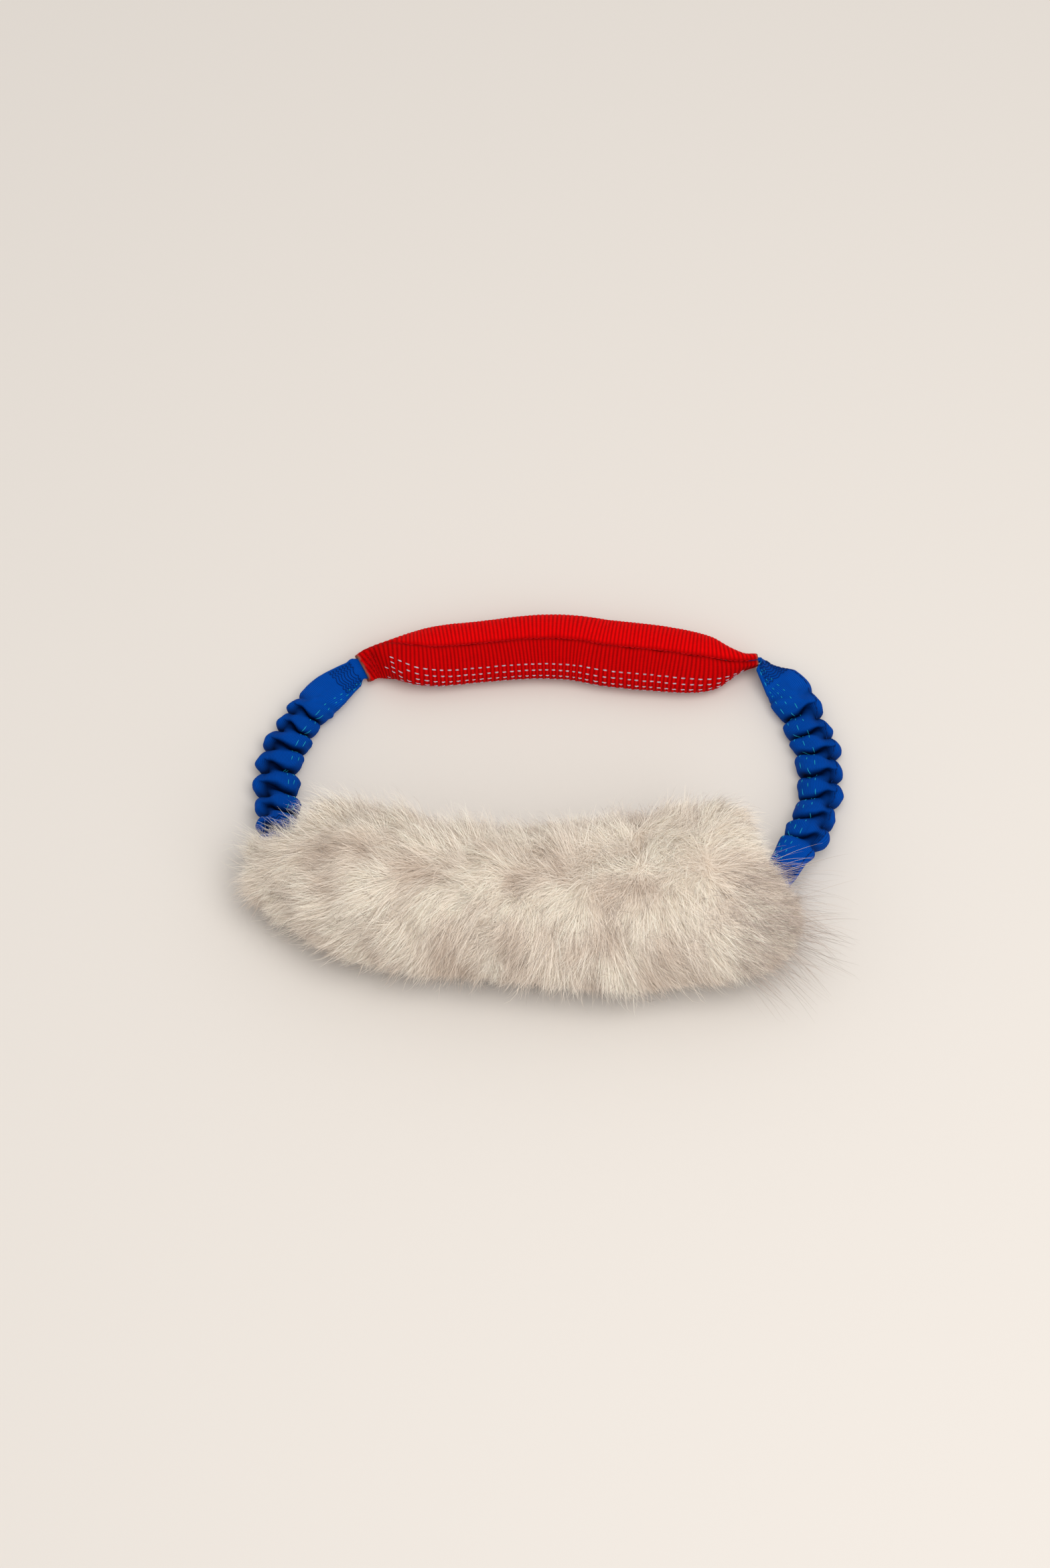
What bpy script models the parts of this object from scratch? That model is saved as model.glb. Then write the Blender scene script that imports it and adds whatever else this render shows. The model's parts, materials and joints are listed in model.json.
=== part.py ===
"""Bungee tug toy: a padded webbing handle, two gathered sleeves over elastic cords, and a fur bite tube.

The toy is one closed loop that lies flat. +X runs from its left sleeve to its right one, +Y from the
bite tube to the handle, and +Z up from the surface it lies on. All lengths are in metres.
"""

import math

import bmesh
import bpy
from mathutils import Vector

# The loop: where the handle's cut ends and the bite tube's ends lie
HANDLE_SPAN = 0.1894
HANDLE_SKEW = 0.0048
HANDLE_SHIFT = 0.0166
HANDLE_BOW = 0.009
LOOP_DEPTH = 0.1178
BITE_SPAN = 0.2363
BITE_SKEW = 0.0245
BITE_BOW = 0.028

# What every soft piece shares
CLEARANCE = 0.0003
FLAT_DEPTH = 0.0005

# The handle: two webbing strips sewn together edge to edge over a foam core
WEBBING_THICKNESS = 0.0015
HANDLE_HALF_WIDTH = 0.0166
HANDLE_HALF_HEIGHT = 0.0103
STUB_HALF_WIDTH = 0.0073
STUB_HEIGHT = 0.008
SEAM_GAP = 0.0003
SEAM_GROOVE = 0.002
SEAM_DEPTH = 0.0009
SEAM_THREAD_RADIUS = 0.0003
FOAM_SETBACK = 0.0135

# The sleeves: tubular fabric gathered over an elastic cord, flattened to a sewn tab at each end
SLEEVE_FABRIC = 0.0005
SLEEVE_HALF_WIDTH = 0.0115
SLEEVE_HALF_HEIGHT = 0.007
VALLEY_HALF_WIDTH = 0.0075
TAB_HALF_WIDTH = 0.0078
TAB_HALF_THICKNESS = 0.0013
TAB_MOUTH_HALF_WIDTH = 0.0054
TAB_INSERTION = 0.011
TAB_LIP = 0.0015
TAB_BEND = 0.0055
TAB_REACH = 0.017
TAB_OPENING = 0.0077
LEFT_SLEEVE_BOW = 0.0182
RIGHT_SLEEVE_BOW = 0.0261
CORD_RADIUS = 0.0032

# The zigzag stitching that holds the tabs
TACK_THREAD_RADIUS = 0.00035
TACK_MARGIN = 0.0008
TACK_START = 0.006
TACK_LENGTH = 0.009
TACK_ROWS = 5
STUB_TACK_START = 0.0025
STUB_TACK_LENGTH = 0.004
STUB_TACK_ROWS = 3

# The bite tube: fur on its hide, round a padding that is threaded on a webbing core
BITE_LEFT_HEIGHT = 0.0205
BITE_RIGHT_HEIGHT = 0.0245
FUR_HALF_WIDTH = 0.048
FUR_HALF_HEIGHT = 0.029
FUR_LOCK_SPACING = 0.028
PADDING_HALF_WIDTH = 0.014
PADDING_HALF_HEIGHT = 0.012
STRAP_HALF_WIDTH = 0.011
STRAP_END_HALF_WIDTH = 0.0065
STRAP_THICKNESS = 0.0018

# Counts
RING_SIDES = 20
STRIP_ARC_POINTS = 9
HANDLE_STEPS = 28
SAMPLES = 240
CORD_STEPS = 20
CORE_STEPS = 16

# Handle axis: share of the span, share of the bow towards +Y
HANDLE_AXIS_SHARES = (
    (0.0, 0.0),
    (0.03, 0.33),
    (0.16, 0.52),
    (0.30, 0.78),
    (0.45, 1.0),
    (0.54, 0.87),
    (0.62, 0.52),
    (0.73, 0.18),
    (0.89, -0.27),
    (1.0, 0.0),
)

# Handle section: share of the span, then how far height, width and roundness have grown from the flat
# stub to the full pad, and the roll of the seam from upright towards +Y in turns of a right angle
HANDLE_SECTION_SHARES = (
    (0.0, 0.0, 0.0, 0.0, 0.67),
    (0.03, 0.1, 0.03, 0.1, 0.63),
    (0.055, 0.4, 0.33, 0.6, 0.47),
    (0.10, 0.85, 0.72, 0.9, 0.22),
    (0.16, 1.0, 0.885, 1.0, 0.02),
    (0.30, 1.0, 0.92, 1.0, -0.07),
    (0.50, 1.0, 1.0, 1.0, -0.07),
    (0.75, 1.0, 0.985, 1.0, -0.07),
    (0.84, 0.95, 0.88, 1.0, -0.09),
    (0.89, 0.75, 0.70, 0.9, -0.14),
    (0.94, 0.35, 0.26, 0.5, -0.27),
    (0.97, 0.1, 0.06, 0.15, -0.32),
    (1.0, 0.0, 0.0, 0.0, -0.33),
)
END_EASE_SHARE = 0.6

# Corners of a section, as the power that its sine and cosine take: 1 is an ellipse, 0 a box
STUB_POWER = 0.25
STRAP_POWER = 0.4
TAB_POWER = 0.5
RUFFLE_POWER = 0.7
BORE_POWER = 0.8
PADDING_POWER = 0.8
PAD_POWER = 1.3

# Sleeve axes: share of the way from handle to bite tube, share of the bow outwards, share of the climb
LEFT_SLEEVE_SHARES = (
    (0.0, 0.0, 0.0),
    (0.09, 0.35, 0.0),
    (0.19, 0.66, 0.0),
    (0.35, 0.92, 0.0),
    (0.47, 1.0, 0.0),
    (0.62, 0.89, 0.0),
    (0.80, 0.46, 0.3),
    (1.0, 0.0, 1.0),
)
RIGHT_SLEEVE_SHARES = (
    (0.0, 0.0, 0.0),
    (0.06, 0.25, 0.0),
    (0.12, 0.51, 0.0),
    (0.20, 0.69, 0.0),
    (0.32, 0.90, 0.0),
    (0.45, 1.0, 0.0),
    (0.62, 0.91, 0.08),
    (0.75, 0.68, 0.3),
    (0.85, 0.36, 0.55),
    (1.0, 0.0, 1.0),
)

# Gathers: share of the sleeve's length, share of the full swell
LEFT_CREST_SHARES = (
    (0.275, 0.93),
    (0.355, 0.92),
    (0.442, 0.98),
    (0.538, 1.02),
    (0.643, 1.0),
    (0.769, 1.03),
    (0.885, 0.85),
)
RIGHT_CREST_SHARES = (
    (0.216, 1.02),
    (0.307, 1.02),
    (0.377, 1.08),
    (0.452, 1.07),
    (0.542, 1.03),
    (0.634, 0.93),
    (0.729, 0.99),
)
CREST_STEP_SHARES = (0.0, 0.1, 0.28, 0.5, 0.72, 0.9)
CREST_POWER = 0.6

# Tabs: half thickness as a share of the flat tab's, where it lies between the last gather and the bite
# tube, and how much of its width the stitching covers
TAB_THICK_SHARE = 1.1
RUFFLE_THICK_SHARE = 2.0
RUFFLE_PLACE_SHARE = 0.35
TAB_PLACE_SHARE = 0.7
TACK_WIDTH_SHARE = 0.75

# Climb: shares of a sleeve or the bite tube over which its axis comes to its own height
SLEEVE_SETTLE_SHARE = 0.2
BITE_RISE_SHARE = 0.2
BITE_FALL_SHARE = 0.12

# Lean of the gathers, outer side on along the sleeve, in turns of a right angle, by share of its length
GATHER_LEAN_SHARES = ((0.0, 0.0), (0.12, 0.0), (0.25, 0.2), (0.5, 0.18), (0.75, 0.0), (1.0, 0.0))

# Bite tube axis and fur: share of its span, share of its bow towards -Y, shares of the fur's full
# half width and half height, and the turn of the section, in turns of a right angle
BITE_SHARES = (
    (0.004, 0.05, 0.19, 0.17, 0.91),
    (0.015, 0.24, 0.26, 0.35, 0.74),
    (0.039, 0.42, 0.45, 0.62, 0.48),
    (0.083, 0.42, 0.62, 0.83, 0.26),
    (0.152, 0.68, 0.765, 0.95, 0.10),
    (0.251, 0.86, 0.80, 1.0, 0.02),
    (0.409, 0.935, 0.785, 1.0, 0.0),
    (0.565, 0.86, 0.84, 1.0, 0.0),
    (0.72, 0.67, 0.955, 1.0, 0.0),
    (0.873, 0.33, 0.965, 0.98, -0.06),
    (0.939, 0.20, 0.87, 0.93, -0.17),
    (0.971, 0.17, 0.69, 0.80, -0.33),
    (0.987, 0.12, 0.42, 0.52, -0.50),
    (0.9925, 0.08, 0.20, 0.20, -0.58),
)

# How full the padding and the widened strap are: share of the bite tube's span, share of full size
CORE_FULL_SHARES = (
    (0.004, 0.0),
    (0.03, 0.0),
    (0.06, 0.35),
    (0.15, 1.0),
    (0.85, 1.0),
    (0.93, 0.6),
    (0.965, 0.0),
    (0.9925, 0.0),
)
PADDING_START_SHARE = 0.062
PADDING_END_SHARE = 0.945

# Locks of the fur: how far the hollows between them go in, as a share of the way to the tube's middle, the
# step between the fur's sections and the reach of its smooth ends, both as shares of the tube's span
FUR_HOLLOW_SHARE = 0.075
FUR_STEP_SHARE = 0.034
FUR_SMOOTH_SHARE = 0.12

# Waves that place the locks: turns per lock spacing along X, Y and Z, and a first turn
FUR_LOCK_WAVES = (
    (0.95, 0.34, 0.56, 0.10),
    (-0.50, 1.0, -0.39, 0.45),
    (0.76, -0.78, 0.28, 0.80),
)

RED = (0.62, 0.006, 0.008)
DARK_RED = (0.22, 0.004, 0.006)
BLUE = (0.006, 0.07, 0.42)
DARK_BLUE = (0.004, 0.02, 0.10)
CORD_WHITE = (0.65, 0.65, 0.62)
FOAM_GREY = (0.35, 0.35, 0.36)
CREAM = (0.78, 0.66, 0.54)
BATTING_WHITE = (0.80, 0.78, 0.74)
STRAP_BLACK = (0.03, 0.03, 0.035)
CLOTH_ROUGHNESS = 0.85
CORD_ROUGHNESS = 0.6

RIGHT_ANGLE = math.pi / 2
UP = Vector((0.0, 0.0, 1.0))

LEFT_MOUTH = Vector((HANDLE_SHIFT - HANDLE_SPAN / 2, LOOP_DEPTH - HANDLE_SKEW / 2, STUB_HEIGHT))
RIGHT_MOUTH = Vector((HANDLE_SHIFT + HANDLE_SPAN / 2, LOOP_DEPTH + HANDLE_SKEW / 2, STUB_HEIGHT))
LEFT_ENTRY = Vector((-BITE_SPAN / 2, BITE_SKEW / 2, BITE_LEFT_HEIGHT))
RIGHT_ENTRY = Vector((BITE_SPAN / 2, -BITE_SKEW / 2, BITE_RIGHT_HEIGHT))
STUB_HALF_THICKNESS = TAB_HALF_THICKNESS + CLEARANCE + WEBBING_THICKNESS
VALLEY_HALF_HEIGHT = CORD_RADIUS + CLEARANCE + SLEEVE_FABRIC
PAD_HEIGHT = HANDLE_HALF_HEIGHT - FLAT_DEPTH
SLEEVE_HEIGHT = SLEEVE_HALF_HEIGHT - FLAT_DEPTH
STUB_INSETS = (TAB_INSERTION, TAB_INSERTION / 2, 0.0, -TAB_LIP)
LEFT_STUB_ROLL = RIGHT_ANGLE * HANDLE_SECTION_SHARES[0][-1]
RIGHT_STUB_ROLL = RIGHT_ANGLE * HANDLE_SECTION_SHARES[-1][-1]


def clear_scene():
    for item in list(bpy.data.objects):
        bpy.data.objects.remove(item, do_unlink=True)


def make_collection(name):
    collection = bpy.data.collections.new(name)
    bpy.context.scene.collection.children.link(collection)
    return collection


def make_material(name, colour, roughness):
    material = bpy.data.materials.new(name)
    material.use_nodes = True
    shader = material.node_tree.nodes["Principled BSDF"]
    shader.inputs["Base Color"].default_value = (*colour, 1.0)
    shader.inputs["Roughness"].default_value = roughness
    shader.inputs["Metallic"].default_value = 0.0
    material.diffuse_color = (*colour, 1.0)
    return material


def follow(table, share):
    """The table's values at a share, on a smooth curve through its rows."""
    share = min(max(share, table[0][0]), table[-1][0])
    i = max(k for k in range(len(table) - 1) if table[k][0] <= share)
    before, after = table[i], table[i + 1]
    width = after[0] - before[0]
    t = (share - before[0]) / width
    values = []
    for k in range(1, len(before)):
        rise = (after[k] - before[k]) / width
        slopes = [rise, rise]
        if i > 0:
            last = (before[k] - table[i - 1][k]) / (before[0] - table[i - 1][0])
            slopes[0] = (rise + last) / 2 if rise * last > 0 else 0.0
        if i + 2 < len(table):
            later = (table[i + 2][k] - after[k]) / (table[i + 2][0] - after[0])
            slopes[1] = (rise + later) / 2 if rise * later > 0 else 0.0
        ends = (2 * t**3 - 3 * t**2 + 1) * before[k] + (3 * t**2 - 2 * t**3) * after[k]
        pull = (t**3 - 2 * t**2 + t) * slopes[0] + (t**3 - t**2) * slopes[1]
        values.append(ends + pull * width)
    return values


def mix(low, high, share):
    return low + (high - low) * share


def signed_power(value, power):
    return math.copysign(abs(value) ** power, value)


def section_ring(centre, wide, tall, half_width, half_height, power=1.0):
    """A closed ring of points with a level side below: an ellipse, or nearly a box at a power well under 1."""
    ring = []
    for k in range(RING_SIDES):
        angle = 2 * math.pi * (k + 0.5) / RING_SIDES
        across = half_width * signed_power(math.cos(angle), power)
        upwards = half_height * signed_power(math.sin(angle), power)
        ring.append(centre + wide * across + tall * upwards)
    return ring


def laid_flat(rings):
    """The same rings with nothing below the surface that the toy lies on."""
    return [[Vector((p.x, p.y, max(p.z, 0.0))) for p in ring] for ring in rings]


def skin(mesh, rings):
    """Adds the side faces through a row of rings, each split on its shorter diagonal, so nested skins match."""
    rows = [[mesh.verts.new(point) for point in ring] for ring in rings]
    for row, following in zip(rows, rows[1:]):
        for k in range(len(row)):
            n = (k + 1) % len(row)
            a, b, c, d = row[k], row[n], following[n], following[k]
            if (c.co - a.co).length < (d.co - b.co).length:
                corners = (a, b, c), (a, c, d)
            else:
                corners = (a, b, d), (b, c, d)
            for corner in corners:
                mesh.faces.new(corner)
    return rows


def loft(name, rings, bore_rings, material, parent):
    """A closed solid through the rings, solid or with an open bore, as an object under its parent."""
    mesh = bmesh.new()
    rows = skin(mesh, rings)
    if bore_rings:
        bore = skin(mesh, bore_rings)
        for outer, inner in ((rows[0], bore[0]), (rows[-1], bore[-1])):
            for k in range(len(outer)):
                n = (k + 1) % len(outer)
                mesh.faces.new((outer[k], outer[n], inner[n], inner[k]))
    else:
        mesh.faces.new(rows[0])
        mesh.faces.new(rows[-1])
    bmesh.ops.recalc_face_normals(mesh, faces=mesh.faces)
    bmesh.ops.translate(mesh, vec=-axis_place(parent), verts=mesh.verts)
    data = bpy.data.meshes.new(name)
    mesh.to_mesh(data)
    mesh.free()
    data.shade_smooth()
    return add_object(name, data, material, parent)


def thread(name, points, radius, material, parent):
    """A round thread along the points, with its ends filled."""
    curve = bpy.data.curves.new(name, "CURVE")
    curve.dimensions = "3D"
    curve.bevel_depth = radius
    curve.bevel_resolution = 1
    curve.use_fill_caps = True
    spline = curve.splines.new("POLY")
    spline.points.add(len(points) - 1)
    start = axis_place(parent)
    for knot, point in zip(spline.points, points):
        knot.co = (*(point - start), 1.0)
    return add_object(name, curve, material, parent)


def add_object(name, data, material, parent):
    item = bpy.data.objects.new(name, data)
    data.materials.append(material)
    item.parent = parent
    TOY.objects.link(item)
    return item


def axis_place(empty):
    place = Vector(empty.location)
    while empty.parent:
        empty = empty.parent
        place += empty.location
    return place


def make_axis(name, place, parent):
    """An empty on a joint's axis. The pieces that move about it are its children."""
    empty = bpy.data.objects.new(name, None)
    empty.parent = parent
    empty.location = place - axis_place(parent) if parent else place
    TOY.objects.link(empty)
    return empty


def handle_point(share):
    (bow,) = follow(HANDLE_AXIS_SHARES, share)
    chord = RIGHT_MOUTH - LEFT_MOUTH
    outward = UP.cross(chord).normalized()
    fullness = follow(HANDLE_SECTION_SHARES, share)[0]
    point = LEFT_MOUTH + chord * share + outward * (HANDLE_BOW * bow)
    point.z = mix(STUB_HEIGHT, PAD_HEIGHT, fullness)
    return point


def handle_frame(share):
    """Centre, seam direction, front direction and section sizes of the handle at a share of its span."""
    reach = 1 / SAMPLES
    nearest = min(max(share, reach), 1 - reach)
    along = (handle_point(nearest + reach) - handle_point(nearest - reach)).normalized()
    away = UP.cross(along).normalized()
    upright = along.cross(away)
    taller, wider, rounder, roll_share = follow(HANDLE_SECTION_SHARES, share)
    roll = RIGHT_ANGLE * roll_share
    seamward = upright * math.cos(roll) + away * math.sin(roll)
    forward = upright * math.sin(roll) - away * math.cos(roll)
    half_seam = mix(STUB_HALF_WIDTH, HANDLE_HALF_HEIGHT, taller)
    half_face = mix(STUB_HALF_THICKNESS, HANDLE_HALF_WIDTH, wider)
    power = mix(STUB_POWER, PAD_POWER, rounder)
    return handle_point(share), seamward, forward, half_seam, half_face, power


def handle_stations():
    """Shares along the handle that lie closer together towards its two tapered ends."""
    shares = []
    for k in range(HANDLE_STEPS + 1):
        even = k / HANDLE_STEPS
        shares.append(mix(even, (1 - math.cos(math.pi * even)) / 2, END_EASE_SHARE))
    return shares


def strip_arc(half_seam, half_face, power, lift, edge):
    """Half of the handle's outline, lowered into it by lift and ending at an edge's distance from the seam."""
    limit = math.acos((edge / (half_face - WEBBING_THICKNESS)) ** (1 / power))
    last = STRIP_ARC_POINTS - 1
    angles = [mix(-limit, limit, k / last) for k in range(STRIP_ARC_POINTS)]
    return [((half_face - lift) * math.cos(a) ** power, (half_seam - lift) * math.sin(a)) for a in angles]


def handle_strip(name, side, material, parent):
    """One webbing strip, from its edge in the upper seam round the foam to its edge in the lower one."""
    rings = []
    for share in handle_stations():
        centre, seamward, forward, *sizes = handle_frame(share)
        outer = strip_arc(*sizes, 0.0, SEAM_GROOVE / 2)
        inner = strip_arc(*sizes, WEBBING_THICKNESS, SEAM_GAP / 2)
        outline = outer + inner[::-1]
        rings.append([centre + forward * (side * face) + seamward * seam for face, seam in outline])
    return loft(name, laid_flat(rings), None, material, parent)


def handle_foam(material, parent):
    setback = FOAM_SETBACK / HANDLE_SPAN
    lift = WEBBING_THICKNESS + CLEARANCE
    rings = []
    for share in handle_stations():
        if not setback <= share <= 1 - setback:
            continue
        centre, seamward, forward, *sizes = handle_frame(share)
        front = strip_arc(*sizes, lift, SEAM_GAP / 2)
        back = [(-face, seam) for face, seam in front[::-1]]
        ring = [centre + forward * face + seamward * seam for face, seam in front + back]
        rings.append([Vector((p.x, p.y, max(p.z, lift))) for p in ring])
    return loft("handle_foam_core", rings, None, material, parent)


def handle_seam(name, side, material, parent):
    """The thread in the groove between the two strips, on the upper seam or the lower one."""
    points = []
    for share in handle_stations()[1:-1]:
        centre, seamward, _, half_seam, _, _ = handle_frame(share)
        point = centre + seamward * (side * (half_seam - SEAM_DEPTH))
        point.z = max(point.z, SEAM_THREAD_RADIUS)
        points.append(point)
    return thread(name, points, SEAM_THREAD_RADIUS, material, parent)


def stub_stitching(name, from_left, material, parent):
    """Zigzag rows across a handle stub, on the front strip."""
    points = []
    for k in range(STUB_TACK_ROWS + 1):
        inset = STUB_TACK_START + STUB_TACK_LENGTH * k / STUB_TACK_ROWS
        share = inset / HANDLE_SPAN if from_left else 1 - inset / HANDLE_SPAN
        centre, seamward, forward, half_seam, half_face, _ = handle_frame(share)
        lift = half_face + TACK_MARGIN + SEAM_THREAD_RADIUS
        side = 1 if k % 2 else -1
        across = half_seam - WEBBING_THICKNESS
        points.append(centre + forward * lift + seamward * (side * across))
    return thread(name, points, SEAM_THREAD_RADIUS, material, parent)


def sleeve_axis(from_left):
    """Points along the sleeve's axis, from inside the handle stub to the bite tube."""
    mouth, entry = (LEFT_MOUTH, LEFT_ENTRY) if from_left else (RIGHT_MOUTH, RIGHT_ENTRY)
    table = LEFT_SLEEVE_SHARES if from_left else RIGHT_SLEEVE_SHARES
    bow = LEFT_SLEEVE_BOW if from_left else RIGHT_SLEEVE_BOW
    chord = Vector((entry.x - mouth.x, entry.y - mouth.y, 0.0))
    outward = UP.cross(chord).normalized() * (-1 if from_left else 1)
    points = []
    for k in range(SAMPLES + 1):
        share = k / SAMPLES
        aside, climb = follow(table, share)
        point = Vector((mouth.x, mouth.y, 0.0)) + chord * share + outward * (bow * aside)
        settle = min(share / SLEEVE_SETTLE_SHARE, 1.0)
        low = mix(STUB_HEIGHT, SLEEVE_HEIGHT, settle)
        point.z = mix(low, entry.z, climb)
        points.append(point)
    return points


def lengths_along(points):
    lengths = [0.0]
    for a, b in zip(points, points[1:]):
        lengths.append(lengths[-1] + (b - a).length)
    return lengths


class SleeveAxis:
    """A sleeve's axis by distance from the handle's cut end, with the frame that its sections take."""

    def __init__(self, from_left):
        self.from_left = from_left
        self.points = sleeve_axis(from_left)
        self.lengths = lengths_along(self.points)
        self.length = self.lengths[-1]

    def point(self, distance):
        distance = min(max(distance, 0.0), self.length)
        k = max(i for i, length in enumerate(self.lengths[:-1]) if length <= distance)
        span = self.lengths[k + 1] - self.lengths[k]
        return self.points[k].lerp(self.points[k + 1], (distance - self.lengths[k]) / span)

    def frame(self, distance):
        """Centre, wide direction and thick direction of the section at this distance."""
        reach = 2 * self.length / SAMPLES
        along = (self.point(distance + reach) - self.point(distance - reach)).normalized()
        outward = UP.cross(along).normalized() * (-1 if self.from_left else 1)
        upright = outward.cross(along).normalized()
        upright = upright if upright.z > 0 else -upright
        share = distance / self.length
        (lean_share,) = follow(GATHER_LEAN_SHARES, share)
        lean = RIGHT_ANGLE * lean_share
        wide = outward * math.cos(lean) + along * math.sin(lean)
        stub_roll = RIGHT_ANGLE - LEFT_STUB_ROLL if self.from_left else -RIGHT_ANGLE - RIGHT_STUB_ROLL
        roll = stub_roll * max(0.0, 1 - distance / TAB_REACH)
        centre = self.point(distance)
        return centre, wide * math.cos(roll) + upright * math.sin(roll), (
            upright * math.cos(roll) - wide * math.sin(roll)
        )


def sleeve_stations(axis):
    """Distance, half width, half height and corner power of each section of a sleeve outside the handle."""
    crests = LEFT_CREST_SHARES if axis.from_left else RIGHT_CREST_SHARES
    places = [share * axis.length for share, _ in crests]
    pitches = [b - a for a, b in zip(places, places[1:])]
    pitches = [pitches[0], *pitches, pitches[-1]]
    thick = TAB_HALF_THICKNESS * TAB_THICK_SHARE
    ruffled = TAB_HALF_THICKNESS * RUFFLE_THICK_SHARE
    half_open = (TAB_HALF_WIDTH + SLEEVE_HALF_WIDTH) / 2
    stations = [
        (TAB_BEND, TAB_MOUTH_HALF_WIDTH, TAB_HALF_THICKNESS, TAB_POWER),
        (TAB_OPENING, TAB_HALF_WIDTH, thick, TAB_POWER),
    ]
    first_valley = places[0] - pitches[0] / 2
    middle = (TAB_OPENING + first_valley) / 2
    stations.append((middle, half_open, ruffled, RUFFLE_POWER))
    for k, (place, (_, swell)) in enumerate(zip(places, crests)):
        start = place - pitches[k] / 2
        pitch = pitches[k] / 2 + pitches[k + 1] / 2
        for step in CREST_STEP_SHARES:
            bulge = math.sin(math.pi * step) ** CREST_POWER * swell
            width = mix(VALLEY_HALF_WIDTH, SLEEVE_HALF_WIDTH, bulge)
            height = mix(VALLEY_HALF_HEIGHT, SLEEVE_HALF_HEIGHT, bulge)
            stations.append((start + pitch * step, width, height, 1.0))
    last = places[-1] + pitches[-1] / 2
    stations.append((last, VALLEY_HALF_WIDTH, VALLEY_HALF_HEIGHT, 1.0))
    ruffle = mix(last, axis.length, RUFFLE_PLACE_SHARE)
    tab = mix(last, axis.length, TAB_PLACE_SHARE)
    stations.append((ruffle, TAB_HALF_WIDTH, ruffled, RUFFLE_POWER))
    stations.append((tab, TAB_HALF_WIDTH, thick, TAB_POWER))
    stations.append((axis.length, STRAP_END_HALF_WIDTH, TAB_HALF_THICKNESS, TAB_POWER))
    return stations


def stub_rings(from_left, half_width, half_thickness, ends):
    """Sections of what lies inside a handle stub, from its inner end out to the cut edge."""
    rings = []
    for inset in ends:
        share = inset / HANDLE_SPAN if from_left else 1 - inset / HANDLE_SPAN
        centre, seamward, forward, _, _, _ = handle_frame(share)
        wide, tall = (seamward, forward) if from_left else (-seamward, -forward)
        rings.append(section_ring(centre, wide, tall, half_width, half_thickness, TAB_POWER))
    return rings


def bore_size(axis, distance):
    """Half width and half height of a sleeve's bore: a slit in its tabs, a round way between them."""
    from_end = min(distance - TAB_OPENING, axis.length - distance - TAB_OPENING)
    opened = min(max(from_end / TAB_REACH, 0.0), 1.0)
    narrow = TAB_MOUTH_HALF_WIDTH - SLEEVE_FABRIC
    slit = TAB_HALF_THICKNESS - SLEEVE_FABRIC
    return mix(narrow, CORD_RADIUS + CLEARANCE, opened), mix(slit, CORD_RADIUS + CLEARANCE, opened)


def sleeve(name, from_left, material, parent):
    axis = SleeveAxis(from_left)
    outer = stub_rings(from_left, TAB_MOUTH_HALF_WIDTH, TAB_HALF_THICKNESS, STUB_INSETS)
    for distance, half_width, half_height, power in sleeve_stations(axis):
        centre, wide, tall = axis.frame(distance)
        outer.append(section_ring(centre, wide, tall, half_width, half_height, power))
    half_width, half_height = bore_size(axis, 0.0)
    bore = stub_rings(from_left, half_width, half_height, STUB_INSETS)
    for k in range(CORD_STEPS + 1):
        distance = mix(TAB_BEND, axis.length, k / CORD_STEPS)
        half_width, half_height = bore_size(axis, distance)
        bore.append(section_ring(*axis.frame(distance), half_width, half_height, BORE_POWER))
    return loft(name, laid_flat(outer), bore, material, parent)


def bungee_cord(name, from_left, material, parent):
    axis = SleeveAxis(from_left)
    half_width, half_height = (size - CLEARANCE for size in bore_size(axis, 0.0))
    insets = (TAB_INSERTION - CLEARANCE, *STUB_INSETS[1:])
    rings = stub_rings(from_left, half_width, half_height, insets)
    for k in range(CORD_STEPS + 1):
        distance = mix(TAB_BEND, axis.length - CLEARANCE, k / CORD_STEPS)
        half_width, half_height = (size - CLEARANCE for size in bore_size(axis, distance))
        rings.append(section_ring(*axis.frame(distance), half_width, half_height, BORE_POWER))
    return loft(name, rings, None, material, parent)


def tab_stitching(name, from_left, at_handle, material, parent):
    """Zigzag rows across a sleeve's tab, on its upper face."""
    axis = SleeveAxis(from_left)
    across = TAB_MOUTH_HALF_WIDTH * TACK_WIDTH_SHARE
    points = []
    for k in range(TACK_ROWS + 1):
        inset = TACK_START + TACK_LENGTH * k / TACK_ROWS
        distance = inset if at_handle else axis.length - inset
        centre, wide, tall = axis.frame(distance)
        lift = sleeve_height_at(axis, distance) + TACK_MARGIN + TACK_THREAD_RADIUS
        side = 1 if k % 2 else -1
        points.append(centre + tall * lift + wide * (side * across))
    return thread(name, points, TACK_THREAD_RADIUS, material, parent)


def sleeve_height_at(axis, distance):
    stations = sleeve_stations(axis)
    for before, after in zip(stations, stations[1:]):
        if before[0] <= distance <= after[0]:
            return mix(before[2], after[2], (distance - before[0]) / (after[0] - before[0]))
    return TAB_HALF_THICKNESS


def bite_frame(share):
    """Centre, wide direction and the fur's half width and half height at a share of the bite tube."""
    bow, width_share, height_share, turn_share = follow(BITE_SHARES, share)
    chord = RIGHT_ENTRY - LEFT_ENTRY
    towards_user = chord.cross(UP).normalized()
    turn = RIGHT_ANGLE * turn_share
    along = Vector((chord.x, chord.y, 0.0)).normalized()
    wide = along * math.sin(turn) - towards_user * math.cos(turn)
    centre = LEFT_ENTRY + chord * share + towards_user * (BITE_BOW * bow)
    rise = min(share / BITE_RISE_SHARE, (1 - share) / BITE_FALL_SHARE, 1.0)
    centre.z = mix(mix(LEFT_ENTRY.z, RIGHT_ENTRY.z, share), FUR_HALF_HEIGHT - FLAT_DEPTH, rise)
    return centre, wide, FUR_HALF_WIDTH * width_share, FUR_HALF_HEIGHT * height_share


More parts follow.
